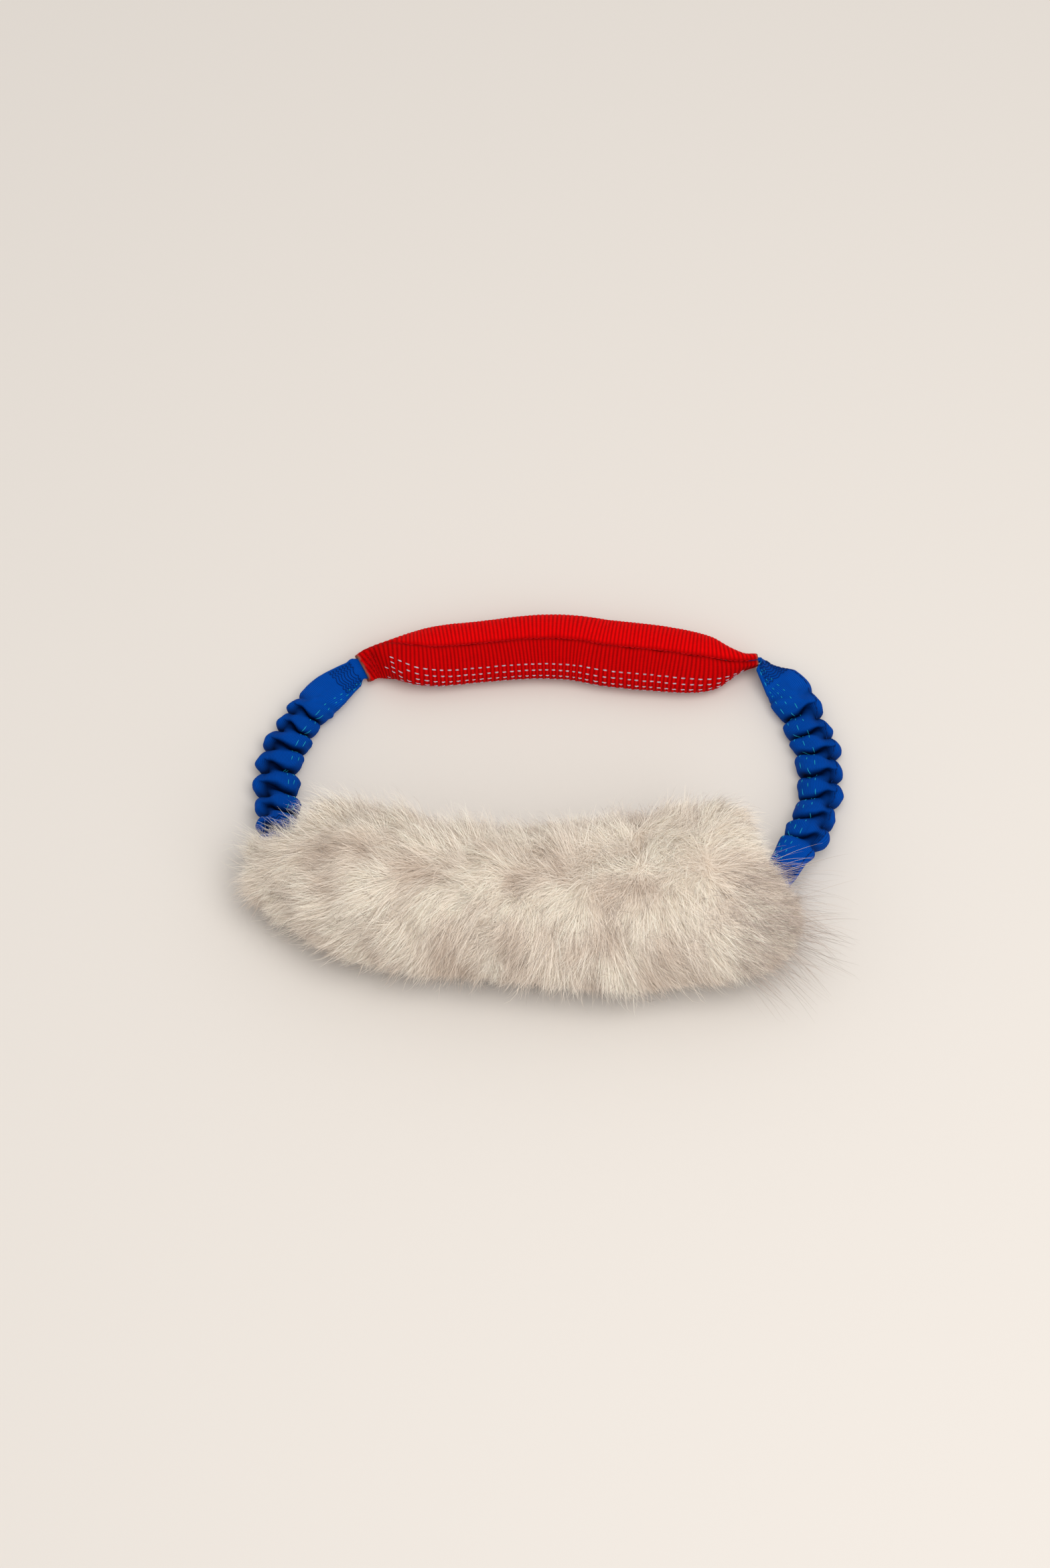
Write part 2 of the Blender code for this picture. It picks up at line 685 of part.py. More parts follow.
def core_stations(first, last):
    """Shares along the bite tube that its inner pieces have in common, closer together at its ends."""
    start, end = BITE_SHARES[0][0], BITE_SHARES[-1][0]
    shares = {start, end, PADDING_START_SHARE, PADDING_END_SHARE}
    for k in range(1, CORE_STEPS):
        even = k / CORE_STEPS
        shares.add(mix(start, end, mix(even, (1 - math.cos(math.pi * even)) / 2, END_EASE_SHARE)))
    return [share for share in sorted(shares) if first <= share <= last]


def core_rings(half_width, half_height, full_width, full_height, first, last, power):
    """Sections of a piece inside the fur, which widens from its end size to its full size."""
    rings = []
    for share in core_stations(first, last):
        (full,) = follow(CORE_FULL_SHARES, share)
        centre, wide, _, _ = bite_frame(share)
        width, height = mix(half_width, full_width, full), mix(half_height, full_height, full)
        corner = mix(STRAP_POWER, power, full)
        rings.append(section_ring(centre, wide, UP, width, height, corner))
    return rings


def fur_stations():
    """Shares along the bite tube at which the fur has a section."""
    rows = [row[0] for row in BITE_SHARES]
    shares = [rows[0]]
    for share, following in zip(rows, rows[1:]):
        count = max(1, round((following - share) / FUR_STEP_SHARE))
        shares += [mix(share, following, (k + 1) / count) for k in range(count)]
    return shares


def hollowed(point, centre, share, half_height):
    """The fur's point moved in by the hollows between its locks: none underneath or at the tube's ends."""
    place = (point - LEFT_ENTRY) / FUR_LOCK_SPACING
    wave = 0.0
    for x, y, z, turn in FUR_LOCK_WAVES:
        wave += math.sin(2 * math.pi * (x * place.x + y * place.y + z * place.z + turn))
    depth = min(max(0.5 + wave / len(FUR_LOCK_WAVES), 0.0), 1.0)
    ends = min(share / FUR_SMOOTH_SHARE, (1 - share) / FUR_SMOOTH_SHARE, 1.0)
    above = min(max(2 * (point.z - centre.z) / half_height + 1.0, 0.0), 1.0)
    return mix(point, centre, FUR_HOLLOW_SHARE * depth * ends * above)


def fur_cover(material, parent):
    outer = []
    for share in fur_stations():
        centre, wide, half_width, half_height = bite_frame(share)
        ring = section_ring(centre, wide, UP, half_width, half_height)
        outer.append([hollowed(point, centre, share, half_height) for point in ring])
    bore = core_rings(
        STRAP_END_HALF_WIDTH + CLEARANCE,
        STRAP_THICKNESS / 2 + CLEARANCE,
        PADDING_HALF_WIDTH + CLEARANCE,
        PADDING_HALF_HEIGHT + CLEARANCE,
        BITE_SHARES[0][0],
        BITE_SHARES[-1][0],
        PADDING_POWER,
    )
    return loft("fur_cover", laid_flat(outer), bore, material, parent)


def bite_padding(material, parent):
    ends = (PADDING_START_SHARE, PADDING_END_SHARE)
    small = STRAP_END_HALF_WIDTH, STRAP_THICKNESS / 2
    outer = core_rings(*small, PADDING_HALF_WIDTH, PADDING_HALF_HEIGHT, *ends, PADDING_POWER)
    thin = STRAP_THICKNESS / 2 + CLEARANCE
    narrow = STRAP_END_HALF_WIDTH + CLEARANCE
    slot = core_rings(narrow, thin, STRAP_HALF_WIDTH + CLEARANCE, thin, *ends, STRAP_POWER)
    return loft("bite_padding", outer, slot, material, parent)


def core_strap(material, parent):
    thin = STRAP_THICKNESS / 2
    ends = (BITE_SHARES[0][0], BITE_SHARES[-1][0])
    rings = core_rings(STRAP_END_HALF_WIDTH, thin, STRAP_HALF_WIDTH, thin, *ends, STRAP_POWER)
    return loft("core_strap", rings, None, material, parent)


def stand_on_origin(root):
    """Moves the toy so that the middle of its underside is the origin."""
    bpy.context.view_layer.update()
    graph = bpy.context.evaluated_depsgraph_get()
    corners = []
    for item in TOY.objects:
        if item.type == "EMPTY":
            continue
        shape = item.evaluated_get(graph)
        corners += [shape.matrix_world @ vertex.co for vertex in shape.to_mesh().vertices]
        shape.to_mesh_clear()
    low = Vector([min(c[k] for c in corners) for k in range(3)])
    high = Vector([max(c[k] for c in corners) for k in range(3)])
    root.location -= Vector(((low.x + high.x) / 2, (low.y + high.y) / 2, low.z))
    bpy.context.view_layer.update()


def main():
    red = make_material("red_webbing", RED, CLOTH_ROUGHNESS)
    dark_red = make_material("dark_red_thread", DARK_RED, CLOTH_ROUGHNESS)
    blue = make_material("blue_tubular_fabric", BLUE, CLOTH_ROUGHNESS)
    dark_blue = make_material("dark_blue_thread", DARK_BLUE, CLOTH_ROUGHNESS)
    elastic = make_material("white_elastic", CORD_WHITE, CORD_ROUGHNESS)
    foam = make_material("grey_foam", FOAM_GREY, CLOTH_ROUGHNESS)
    fur = make_material("cream_fur", CREAM, CLOTH_ROUGHNESS)
    batting = make_material("white_batting", BATTING_WHITE, CLOTH_ROUGHNESS)
    strap = make_material("black_webbing", STRAP_BLACK, CLOTH_ROUGHNESS)

    toy = make_axis("bungee_tug_toy_base", Vector(), None)
    fold = make_axis("loop_fold_axis", LEFT_ENTRY, toy)
    stretch = make_axis("bungee_stretch_axis", LEFT_MOUTH, fold)
    roll = make_axis("handle_roll_axis", LEFT_MOUTH, stretch)

    fur_cover(fur, toy)
    bite_padding(batting, toy)
    core_strap(strap, toy)
    for side, from_left in (("left", True), ("right", False)):
        sleeve(f"{side}_sleeve", from_left, blue, fold)
        bungee_cord(f"{side}_bungee_cord", from_left, elastic, fold)
        tab_stitching(f"{side}_lower_tab_stitching", from_left, False, dark_blue, fold)
        tab_stitching(f"{side}_upper_tab_stitching", from_left, True, dark_blue, stretch)
        stub_stitching(f"{side}_handle_end_stitching", from_left, dark_red, roll)
    handle_strip("handle_front_webbing", 1, red, roll)
    handle_strip("handle_back_webbing", -1, red, roll)
    handle_foam(foam, roll)
    handle_seam("handle_top_seam", 1, dark_red, roll)
    handle_seam("handle_bottom_seam", -1, dark_red, roll)
    stand_on_origin(toy)

    for name, place in (("left entry", LEFT_ENTRY), ("right entry", RIGHT_ENTRY)):
        print(name, [round(v, 5) for v in place + toy.location])
    for name, place in (("left mouth", LEFT_MOUTH), ("right mouth", RIGHT_MOUTH)):
        print(name, [round(v, 5) for v in place + toy.location])


clear_scene()
TOY = make_collection("bungee_tug_toy")
main()
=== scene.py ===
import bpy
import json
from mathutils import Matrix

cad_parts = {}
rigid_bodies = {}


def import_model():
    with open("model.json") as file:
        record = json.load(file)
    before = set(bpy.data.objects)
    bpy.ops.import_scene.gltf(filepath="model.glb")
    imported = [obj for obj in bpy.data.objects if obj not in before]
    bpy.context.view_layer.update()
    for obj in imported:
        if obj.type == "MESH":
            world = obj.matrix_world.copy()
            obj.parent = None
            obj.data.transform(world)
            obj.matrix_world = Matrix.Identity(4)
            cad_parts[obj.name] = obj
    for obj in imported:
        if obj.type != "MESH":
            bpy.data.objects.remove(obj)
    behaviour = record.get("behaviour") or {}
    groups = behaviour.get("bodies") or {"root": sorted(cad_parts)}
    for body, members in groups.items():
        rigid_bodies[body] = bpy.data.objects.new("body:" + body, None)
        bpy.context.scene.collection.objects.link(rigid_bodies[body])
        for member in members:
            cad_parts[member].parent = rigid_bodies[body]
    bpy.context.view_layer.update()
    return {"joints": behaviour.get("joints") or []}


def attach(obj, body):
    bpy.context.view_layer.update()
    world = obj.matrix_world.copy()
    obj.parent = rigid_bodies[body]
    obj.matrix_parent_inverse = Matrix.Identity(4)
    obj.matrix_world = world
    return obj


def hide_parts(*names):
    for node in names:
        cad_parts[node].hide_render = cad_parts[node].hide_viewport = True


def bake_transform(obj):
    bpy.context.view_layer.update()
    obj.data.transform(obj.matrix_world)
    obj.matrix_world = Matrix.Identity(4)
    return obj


bl_info = {
    "name": "Bungee tug toy",
    "version": (1, 0, 0),
    "blender": (4, 5, 0),
    "location": "View3D > Sidebar > Tug Toy",
    "description": "Dresses a tug toy: webbing handle, gathered bungee sleeves and a fur bite tube",
    "category": "Object",
}

import json
import math

import bpy
import numpy as np
from mathutils import Vector, kdtree

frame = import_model()

RIGHT_ANGLE = math.pi / 2
UP = np.array((0.0, 0.0, 1.0))

# What every soft piece shares with its solid
CLEARANCE = 0.0003
FLAT_DEPTH = 0.0005
AXIS_SAMPLES = 240

# The handle's strips
SEAM_GAP = 0.0003
EDGE_GAP = 0.00012
ARC_SAMPLES = 241
STRIP_COLUMNS = 46
STRIP_INNER_COLUMNS = 10
# Painted shade: the front strip's red is darkened to this share, as the side turned away from the light
FRONT_STRIP_PAINTED_SHADE = 0.75
FOAM_SETBACK = 0.0135
FOAM_ROWS = 90
FOAM_COLUMNS = 24

# The webbing's ribs, and what its seams and cut ends do to them
RIB_SAMPLES = 8
RIB_CREST_POWER = 0.7
RIB_WANDER = 0.16
RIB_FAN = 2.2
RIB_UNEVENNESS = 0.22
EDGE_FADE = (0.0002, 0.0022)
EDGE_TUCK = 0.0006
EDGE_TUCK_WIDTH = 0.0008
PUCKER_HEIGHT = 0.00034
PUCKER_REACH = 0.006
SAG_HEIGHT = 0.00025
SAG_SETBACK = 0.012
CUT_WIDTH = 0.0006

# The handle's tracer yarn: rows as shares of the strip, and filaments as half widths and half heights
TRACER_ROWS = (0.30, 0.375, 0.45, 0.525, 0.60, 0.675, 0.75)
TRACER_FIRST_RIB = 6
TRACER_END_RIBS = 3
TRACER_DRIFT = 0.08
TRACER_FULL_RIB = 22
TRACER_LIFT = 0.00006
TRACER_ARCH = 0.0001
TRACER_CORE_TONE = 0.42
FILAMENT_SPACING = 0.2
EDGE_FILAMENT = (0.0001, 0.00008)
MIDDLE_FILAMENT = (0.00008, 0.00007)

# Threads
THREAD_SIDES = 6
THREAD_END_SHARE = 0.92
DASH_POINTS = 6
ZIGZAG_POINTS_EACH = 4

# The handle's stitches
SEAM_PITCH = 0.0027
SEAM_START = 0.004
SEAM_END = 0.006
SEAM_DEPTH = 0.00048
SEAM_DIVE = 0.0004
SEAM_SKEW = 0.00022
SEAM_LOWEST = 0.0004
SEAM_THREAD = (0.00032, 0.0003)
STUB_ROWS = 4
STUB_ROW_START = 0.0022
STUB_ROW_PITCH = 0.0015
STUB_ZIGZAG = 0.0011
STUB_MARGIN = 0.0016
STUB_LIFT = 0.00022
STUB_POINTS = 41
STUB_THREAD = (0.0002, 0.00016)

# The sleeves
LEFT_SLEEVE_BOW = 0.0182
RIGHT_SLEEVE_BOW = 0.0261
TAB_INSERT = 0.011
TAB_LIP = 0.0015
TAB_BEND = 0.0055
TAB_REACH = 0.017
TAB_OPENING = 0.0077
TAB_TURN = 0.012
TAB_TURN_START = 0.0005
LOWER_PART_LENGTH = 0.0135
ROW_STEP = 0.00026
SLEEVE_COLUMNS = 120
VALLEY_WIDTH_SHARE = 0.5
VALLEY_HEIGHT_SHARE = 0.74
UNDERSIDE_SHARE = 0.45

# Folds between the gathers, in shares of a gather
RIM_RISE = 0.1
RIM_ROLL = 0.15
FOLD_WANDER = 0.04
FOLD_POWER = 1.5
INNER_FOLD_PLACE = 0.52
INNER_FOLD_SLANT = 0.40
OUTER_FOLD_PLACE = 0.64
OUTER_FOLD_SLANT = 0.14
OUTER_FOLD_DEPTH = 0.62
FIRST_OUTER_FOLD_SHARE = 0.45
STEEP_SIDE = 0.085
GENTLE_SIDE = 0.15
RIM_SETBACK = 0.15
OUTER_RIM_SETBACK = 0.13
VALLEY_DEPTH = 0.16

# Wrinkles of the sleeves: height, turns per gather and round, as the fine, broad and crossing ones
WRINKLES = ((0.00026, 9.0, 3.5), (0.0006, 1.7, 1.2), (0.00016, 4.0, 5.0))
UNDERSIDE_SHIFT = 5

# Yarn and stitches on the sleeves: rows in degrees round a sleeve, threads as half widths and half heights
LEFT_DASH_ROWS = (121, 141)
RIGHT_DASH_ROWS = (102, 122, 145)
DASH_LENGTH = 0.0018
DASH_PITCH = 0.0050
DASH_START = 0.002
DASH_LIFT = 0.00005
DASH_YARN = (0.00021, 0.00012)
TACK_ROWS = 7
TACK_START = 0.0045
UPPER_TACK_PITCH = 0.0016
LOWER_TACK_PITCH = 0.0014
TACK_ZIGZAG = 0.0012
TACK_SPAN = (0.115, 0.385)
TACK_POINTS = 49
TACK_LIFT = 0.0002
TACK_THREAD = (0.0002, 0.00015)
SIDE_SEAM_ANGLE = 38
SIDE_SEAM_START = 0.008
SIDE_SEAM_SETBACKS = (0.0004, 0.0022)
SIDE_SEAM_PITCH = 0.0023
SIDE_SEAM_STITCH = 0.0019
SIDE_SEAM_LIFT = 0.0001
SIDE_SEAM_THREAD = (0.0003, 0.00022)

# The elastic cords
CORD_SETBACK = 0.023
CORD_DRAWN_SHARE = 0.7
CORD_SINK_SHARE = 0.4
CORD_ROWS = 200
CORD_COLUMNS = 24
BRAID_PITCH = 0.004
BRAID_STRANDS = 3
BRAID_RELIEF = 0.05

# The bite tube's inside
STRAP_HALF_WIDTH = 0.011
STRAP_END_HALF_WIDTH = 0.0065
STRAP_THICKNESS = 0.0018
STRAP_ROWS = 200
PADDING_HALF_WIDTH = 0.014
PADDING_HALF_HEIGHT = 0.012
PADDING_START_SHARE = 0.062
PADDING_END_SHARE = 0.945
PADDING_ROWS = 120
CORE_COLUMNS = 40

# The hide
HIDE_ROWS = 150
HIDE_COLUMNS = 96
HIDE_SHARE = 0.86
HIDE_START_SHARE = 0.010
HIDE_END_SHARE = 0.9895
HIDE_LOWEST = 0.0025
FUR_HOLLOW_SHARE = 0.075
FUR_SMOOTH_SHARE = 0.12
UNDERSIDE_HAIR_SHARE = 0.4
FURTHEST_COLUMNS = 16

# Layers of the fur: pieces, hairs in each, points on a hair, lengths, rises, gather, width, seed
FUR_LAYERS = {
    "underfur": (4, 32000, 4, (0.4, 0.72), (0.6, 1.05), 0.15, 1.15, 410),
    "fur_coat": (5, 24000, 5, (0.65, 1.1), (0.7, 1.3), 0.6, 0.85, 400),
}
LOCKS = 520
WISPS = 9000

# How the hairs lie
PARTING = 0.28
SWIRL_TURNS = 120
LOCK_TURN = 0.28
LOCK_LENGTHS = (0.62, 1.36)
LOCK_LIFTS = (0.85, 1.2)
LOCK_FLOW_SHARE = 0.55
WISP_STRAY = 0.0017
STANDING_SHARE = 0.12
STANDING_LIFTS = (0.4, 0.8)
LARGEST_RISE_SHARE = 0.6
TIP_STRAY = 0.0011
CURL_HEIGHT = 0.0010
CURL_TURNS = (2.0, 5.0)
HAIR_REST = 0.0003
HAIR_REST_SPREAD = 0.0012
LOWEST_FRONT = -0.1212
HIGHEST = 0.0675

# How the hairs look
HAIR_TWIST = 0.3
HAIR_ROUNDNESS = 0.22
HAIR_TAPER = ((0.0, 0.3, 0.7, 1.0), (0.85, 1.0, 0.75, 0.12))
GUARD_SHARE = 0.07
EDGE_GUARD_SHARE = 0.18
BEIGE_SHARE = 0.55
PATCH_SHARE = 0.85
PATCH_BEND = 0.0032
PATCH_TURNS = 170
# Painted shade, in brown, where the hide sinks between the locks
LOCK_GAP_PAINTED_SHADE = 0.2
BROAD_BROWN = 0.3
# Painted shade, in brown, on the low front of the fur between its locks
LOW_FRONT_PAINTED_SHADE = 0.75

# Single hairs, with their lengths and widths
GUARD_HAIR_STEPS = 8
STRAY_HAIRS = 9000
STRAY_HAIR_LENGTHS = (0.011, 0.019)
STRAY_HAIR_WIDTHS = (0.00013, 0.0002)
STRAY_HAIR_CURL = 0.003
STRAY_HAIR_EDGE = 0.45
STRAY_HAIR_TOP_SHARE = 0.35
LONG_HAIRS = 700
LONG_HAIR_LENGTHS = (0.016, 0.036)
LONG_HAIR_WIDTHS = (0.0001, 0.00016)
LONG_HAIR_HEADINGS = (-48, 26)
LONG_HAIR_ROW_SHARES = (0.88, 0.985)
LONG_HAIR_COLUMN_SHARES = (0.24, 0.52)
LONG_HAIR_LOWEST = 0.0008
FURTHEST_RIGHT = 0.1465

# Seeds of what is laid at random
RIB_SEED = 11
UNEVEN_RIB_SEED = 31
PUCKER_SEED = 41
SAG_SEED = 51
SEALED_SEED = 61
TRACER_SEED = 5
SEAM_SEED = 70
LEFT_FOLD_SEED = 100
RIGHT_FOLD_SEED = 200
LEFT_DASH_SEED = 9
RIGHT_DASH_SEED = 10
SWIRL_SEED = 7
LOCK_SEED = 21
BROAD_BROWN_SEED = 91
PATCH_BEND_SEED = 92
STRAY_HAIR_SEED = 78
LONG_HAIR_SEED = 77

# Way the hairs lie: share of the bite tube, along it, down its sides, length, hold on its curve
COMB_SHARES = (
    (0.0, -1.0, 0.45, 0.9, 0.1),
    (0.08, -0.97, 0.5, 0.95, 0.3),
    (0.18, -0.85, 0.7, 1.0, 0.8),
    (0.35, -0.65, 0.85, 0.95, 1.0),
    (0.50, -0.40, 0.9, 0.85, 1.0),
    (0.64, -0.10, 0.95, 0.9, 1.0),
    (0.78, 0.35, 0.85, 0.95, 1.0),
    (0.92, 0.85, 0.6, 0.7, 0.65),
    (1.0, 1.0, 0.4, 0.4, 0.3),
)

# Waves that place the locks of the fur: turns per lock spacing along X, Y and Z, and a first turn
FUR_LOCK_WAVES = (
    (0.95, 0.34, 0.56, 0.10),
    (-0.50, 1.0, -0.39, 0.45),
    (0.76, -0.78, 0.28, 0.80),
)

# Brown patches in the fur: place to the right and to the back of the left sleeve's entry, and radius
FUR_PATCHES = (
    (0.025, -0.022, 0.009),
    (0.045, -0.024, 0.007),
    (0.068, -0.034, 0.009),
    (0.104, -0.025, 0.006),
    (0.118, -0.040, 0.006),
    (0.131, -0.034, 0.008),
    (0.159, -0.048, 0.008),
    (0.170, -0.045, 0.006),
    (0.156, -0.066, 0.009),
    (0.024, -0.041, 0.007),
    (0.081, -0.070, 0.008),
    (0.1125, -0.068, 0.009),
    (0.144, -0.071, 0.007),
    (0.179, -0.072, 0.006),
)

# Corners of a section, as the power that its sine and cosine take: 1 is an ellipse, 0 a box
STUB_POWER = 0.25
STRAP_POWER = 0.4
TAB_POWER = 0.5
RUFFLE_POWER = 0.7
PADDING_POWER = 0.8
PAD_POWER = 1.3

# The stage: lights as place, size, power and colour
AIM_FROM_LEFT_ENTRY = (0.11817, 0.04379, -0.0205)
CAMERA_LENS = 200
CAMERA_SENSOR = 36
CAMERA_DISTANCE = 4.1634
CAMERA_ELEVATION = 60
FLOOR_SIZE = 6.0
ROOM_COLOUR = (1.0, 0.985, 0.965)
ROOM_STRENGTH = 0.71
LIGHTS = {
    "key": ((0.30, -0.36, 1.5), 1.3, 11.2, (1.0, 0.985, 0.96)),
    "fill": ((0.9, -1.2, 1.2), 1.4, 5.2, (0.97, 0.985, 1.0)),
}

# Handle axis: share of the span, share of the bow towards +Y
HANDLE_AXIS_SHARES = (
    (0.0, 0.0),
    (0.03, 0.33),
    (0.16, 0.52),
    (0.30, 0.78),
    (0.45, 1.0),
    (0.54, 0.87),
    (0.62, 0.52),
    (0.73, 0.18),
    (0.89, -0.27),
    (1.0, 0.0),
)

# Handle section: share of the span, growth of height, width and roundness, roll of the seam
HANDLE_SECTION_SHARES = (
    (0.0, 0.0, 0.0, 0.0, 0.67),
    (0.03, 0.1, 0.03, 0.1, 0.63),
    (0.055, 0.4, 0.33, 0.6, 0.47),
    (0.10, 0.85, 0.72, 0.9, 0.22),
    (0.16, 1.0, 0.885, 1.0, 0.02),
    (0.30, 1.0, 0.92, 1.0, -0.07),
    (0.50, 1.0, 1.0, 1.0, -0.07),
    (0.75, 1.0, 0.985, 1.0, -0.07),
    (0.84, 0.95, 0.88, 1.0, -0.09),
    (0.89, 0.75, 0.70, 0.9, -0.14),
    (0.94, 0.35, 0.26, 0.5, -0.27),
    (0.97, 0.1, 0.06, 0.15, -0.32),
    (1.0, 0.0, 0.0, 0.0, -0.33),
)

# Sleeve axes: share of the way from handle to bite tube, share of the bow outwards, share of the climb
LEFT_SLEEVE_SHARES = (
    (0.0, 0.0, 0.0),
    (0.09, 0.35, 0.0),
    (0.19, 0.66, 0.0),
    (0.35, 0.92, 0.0),
    (0.47, 1.0, 0.0),
    (0.62, 0.89, 0.0),
    (0.80, 0.46, 0.3),
    (1.0, 0.0, 1.0),
)
RIGHT_SLEEVE_SHARES = (
    (0.0, 0.0, 0.0),
    (0.06, 0.25, 0.0),
    (0.12, 0.51, 0.0),
    (0.20, 0.69, 0.0),
    (0.32, 0.90, 0.0),
    (0.45, 1.0, 0.0),
    (0.62, 0.91, 0.08),
    (0.75, 0.68, 0.3),
    (0.85, 0.36, 0.55),
    (1.0, 0.0, 1.0),
)

# Gathers: share of the sleeve's length, share of the full swell
LEFT_CREST_SHARES = (
    (0.275, 0.93),
    (0.355, 0.92),
    (0.442, 0.98),
    (0.538, 1.02),
    (0.643, 1.0),
    (0.769, 1.03),
    (0.885, 0.85),
)
RIGHT_CREST_SHARES = (
    (0.216, 1.02),
    (0.307, 1.02),
    (0.377, 1.08),
    (0.452, 1.07),
    (0.542, 1.03),
    (0.634, 0.93),
    (0.729, 0.99),
)
GATHER_LEAN_SHARES = ((0.0, 0.0), (0.12, 0.0), (0.25, 0.2), (0.5, 0.18), (0.75, 0.0), (1.0, 0.0))

# Bite tube: share of its span, share of its bow towards -Y, shares of the full half width and height, turn
BITE_SHARES = (
    (0.004, 0.05, 0.19, 0.17, 0.91),
    (0.015, 0.24, 0.26, 0.35, 0.74),
    (0.039, 0.42, 0.45, 0.62, 0.48),
    (0.083, 0.42, 0.62, 0.83, 0.26),
    (0.152, 0.68, 0.765, 0.95, 0.10),
    (0.251, 0.86, 0.80, 1.0, 0.02),
    (0.409, 0.935, 0.785, 1.0, 0.0),
    (0.565, 0.86, 0.84, 1.0, 0.0),
    (0.72, 0.67, 0.955, 1.0, 0.0),
    (0.873, 0.33, 0.965, 0.98, -0.06),
    (0.939, 0.20, 0.87, 0.93, -0.17),
    (0.971, 0.17, 0.69, 0.80, -0.33),
    (0.987, 0.12, 0.42, 0.52, -0.50),
    (0.9925, 0.08, 0.20, 0.20, -0.58),
)
CORE_FULL_SHARES = (
    (0.004, 0.0),
    (0.03, 0.0),
    (0.06, 0.35),
    (0.15, 1.0),
    (0.85, 1.0),
    (0.93, 0.6),
    (0.965, 0.0),
    (0.9925, 0.0),
)
BITE_RISE_SHARE = 0.2
BITE_FALL_SHARE = 0.12
SLEEVE_SETTLE_SHARE = 0.2


def length(name, default, about):
    """A property that holds a length in metres."""
    return bpy.props.FloatProperty(
        name=name, description=about, default=default, precision=5, subtype="DISTANCE", unit="LENGTH"
    )


def colour(name, default, about):
    """A property that holds a colour."""
    return bpy.props.FloatVectorProperty(
        name=name, description=about, default=default, size=3, min=0.0, max=1.0, subtype="COLOR"
    )


class TugSizes(bpy.types.PropertyGroup):
    """Sizes of the toy's pieces, as they are in its solids"""

    handle_span: length("Handle span", 0.1894, "Distance between the handle's two cut ends")
    handle_skew: length("Handle skew", 0.0048, "How much further back the handle's right end lies")
    handle_bow: length("Handle bow", 0.009, "How far the handle bows back")
    handle_half_width: length("Handle half width", 0.0166, "From the middle to the face of its pad")
    handle_half_height: length("Handle half height", 0.0103, "From the handle's middle to its seam")
    stub_half_width: length("Stub half width", 0.0073, "Half the width of the sewn ends")
    webbing: length("Webbing thickness", 0.0015, "Thickness of the handle's webbing")
    rib_pitch: length("Rib pitch", 0.00185, "Distance from rib to rib along the handle")
    rib_relief: length("Rib relief", 0.00022, "Height of the ribs")
    tab_half_width: length("Tab half width", 0.0078, "Half the width of a sleeve's flat end")
    tab_half_thickness: length("Tab half thickness", 0.0013, "Half the thickness of a sleeve's flat end")
    tab_mouth_half_width: length("Tab mouth half width", 0.0054, "Half a tab's width at the handle")
    sleeve_half_width: length("Sleeve half width", 0.0115, "Half the width across its gathers")
    sleeve_half_height: length("Sleeve half height", 0.007, "Half the height across its gathers")
    cord_radius: length("Cord radius", 0.0032, "Radius of the elastic cord")
    bite_span: length("Bite tube span", 0.2363, "Distance between the two sleeves' entries")
    bite_skew: length("Bite tube skew", 0.0245, "How much further back the left entry lies")
    bite_climb: length("Bite tube climb", 0.004, "How much higher the right entry lies")
    bite_bow: length("Bite tube bow", 0.028, "How far the bite tube bows towards the front")
    fur_half_width: length("Fur half width", 0.048, "Half the width of the fur")
    fur_half_height: length("Fur half height", 0.029, "Half the height of the fur")
    lock_spacing: length("Lock spacing", 0.028, "Distance between the fur's larger locks")
    hair_length: length("Hair length", 0.018, "Length of most hairs")
    hair_width: length("Hair width", 0.00015, "Width of a hair near its root")


class TugColours(bpy.types.PropertyGroup):
    """Colours of the toy's materials"""

    red: colour("Red", (0.90, 0.0, 0.001), "Handle webbing")
    seam_red: colour("Seam red", (0.40, 0.001, 0.003), "Thread of the handle's seams")
    sealed: colour("Sealed brown", (0.16, 0.10, 0.075), "Melted edge of the cut webbing")
    tracer: colour("Tracer white", (0.60, 0.60, 0.70), "Tracer yarn in the handle")
    blue: colour("Blue", (0.0, 0.060, 0.37), "Sleeve fabric")
    # Also the painted shade in the bottoms of the sleeves' folds, at 0.3 of this colour
    deep_blue: colour("Deep blue", (0.0, 0.02, 0.13), "Stitching on the sleeves")
    cyan: colour("Cyan", (0.012, 0.28, 0.44), "Tracer yarn in the sleeves")
    cream: colour("Cream", (1.0, 0.905, 0.79), "Most of the hairs")
    beige: colour("Beige", (0.96, 0.825, 0.69), "Hairs in the darker patches")
    grey_brown: colour("Grey brown", (0.36, 0.29, 0.25), "Tips of the guard hairs")
    # Also the brown of the painted shade between the locks and on the low front
    patch_brown: colour("Patch brown", (0.55, 0.41, 0.31), "Hairs in the brown patches")
    hide: colour("Hide", (1.0, 0.90, 0.785), "Backing of the fur")
    foam: colour("Foam grey", (0.35, 0.35, 0.36), "Foam inside the handle")
    elastic: colour("Elastic white", (0.65, 0.65, 0.62), "Elastic cords")
    strap: colour("Strap black", (0.03, 0.03, 0.035), "Strap inside the bite tube")
    wool: colour("Wool white", (0.8, 0.78, 0.74), "Padding inside the bite tube")
    floor: colour("Floor", (0.735, 0.69, 0.645), "Floor that the toy lies on")


def sizes():
    return bpy.context.scene.tug_sizes


def rgb(name):
    """The red, green and blue of one of the toy's colours."""
    return tuple(getattr(bpy.context.scene.tug_colours, name))


def joint_place(name):
    return np.array(next(joint for joint in frame["joints"] if joint["name"] == name)["pos_m"])


def unit(vectors):
    return vectors / np.linalg.norm(vectors, axis=-1, keepdims=True)


def smooth(low, high, value):
    t = np.clip((value - low) / (high - low), 0.0, 1.0)
    return t * t * (3 - 2 * t)


def mix(low, high, share):
    return low + (high - low) * share


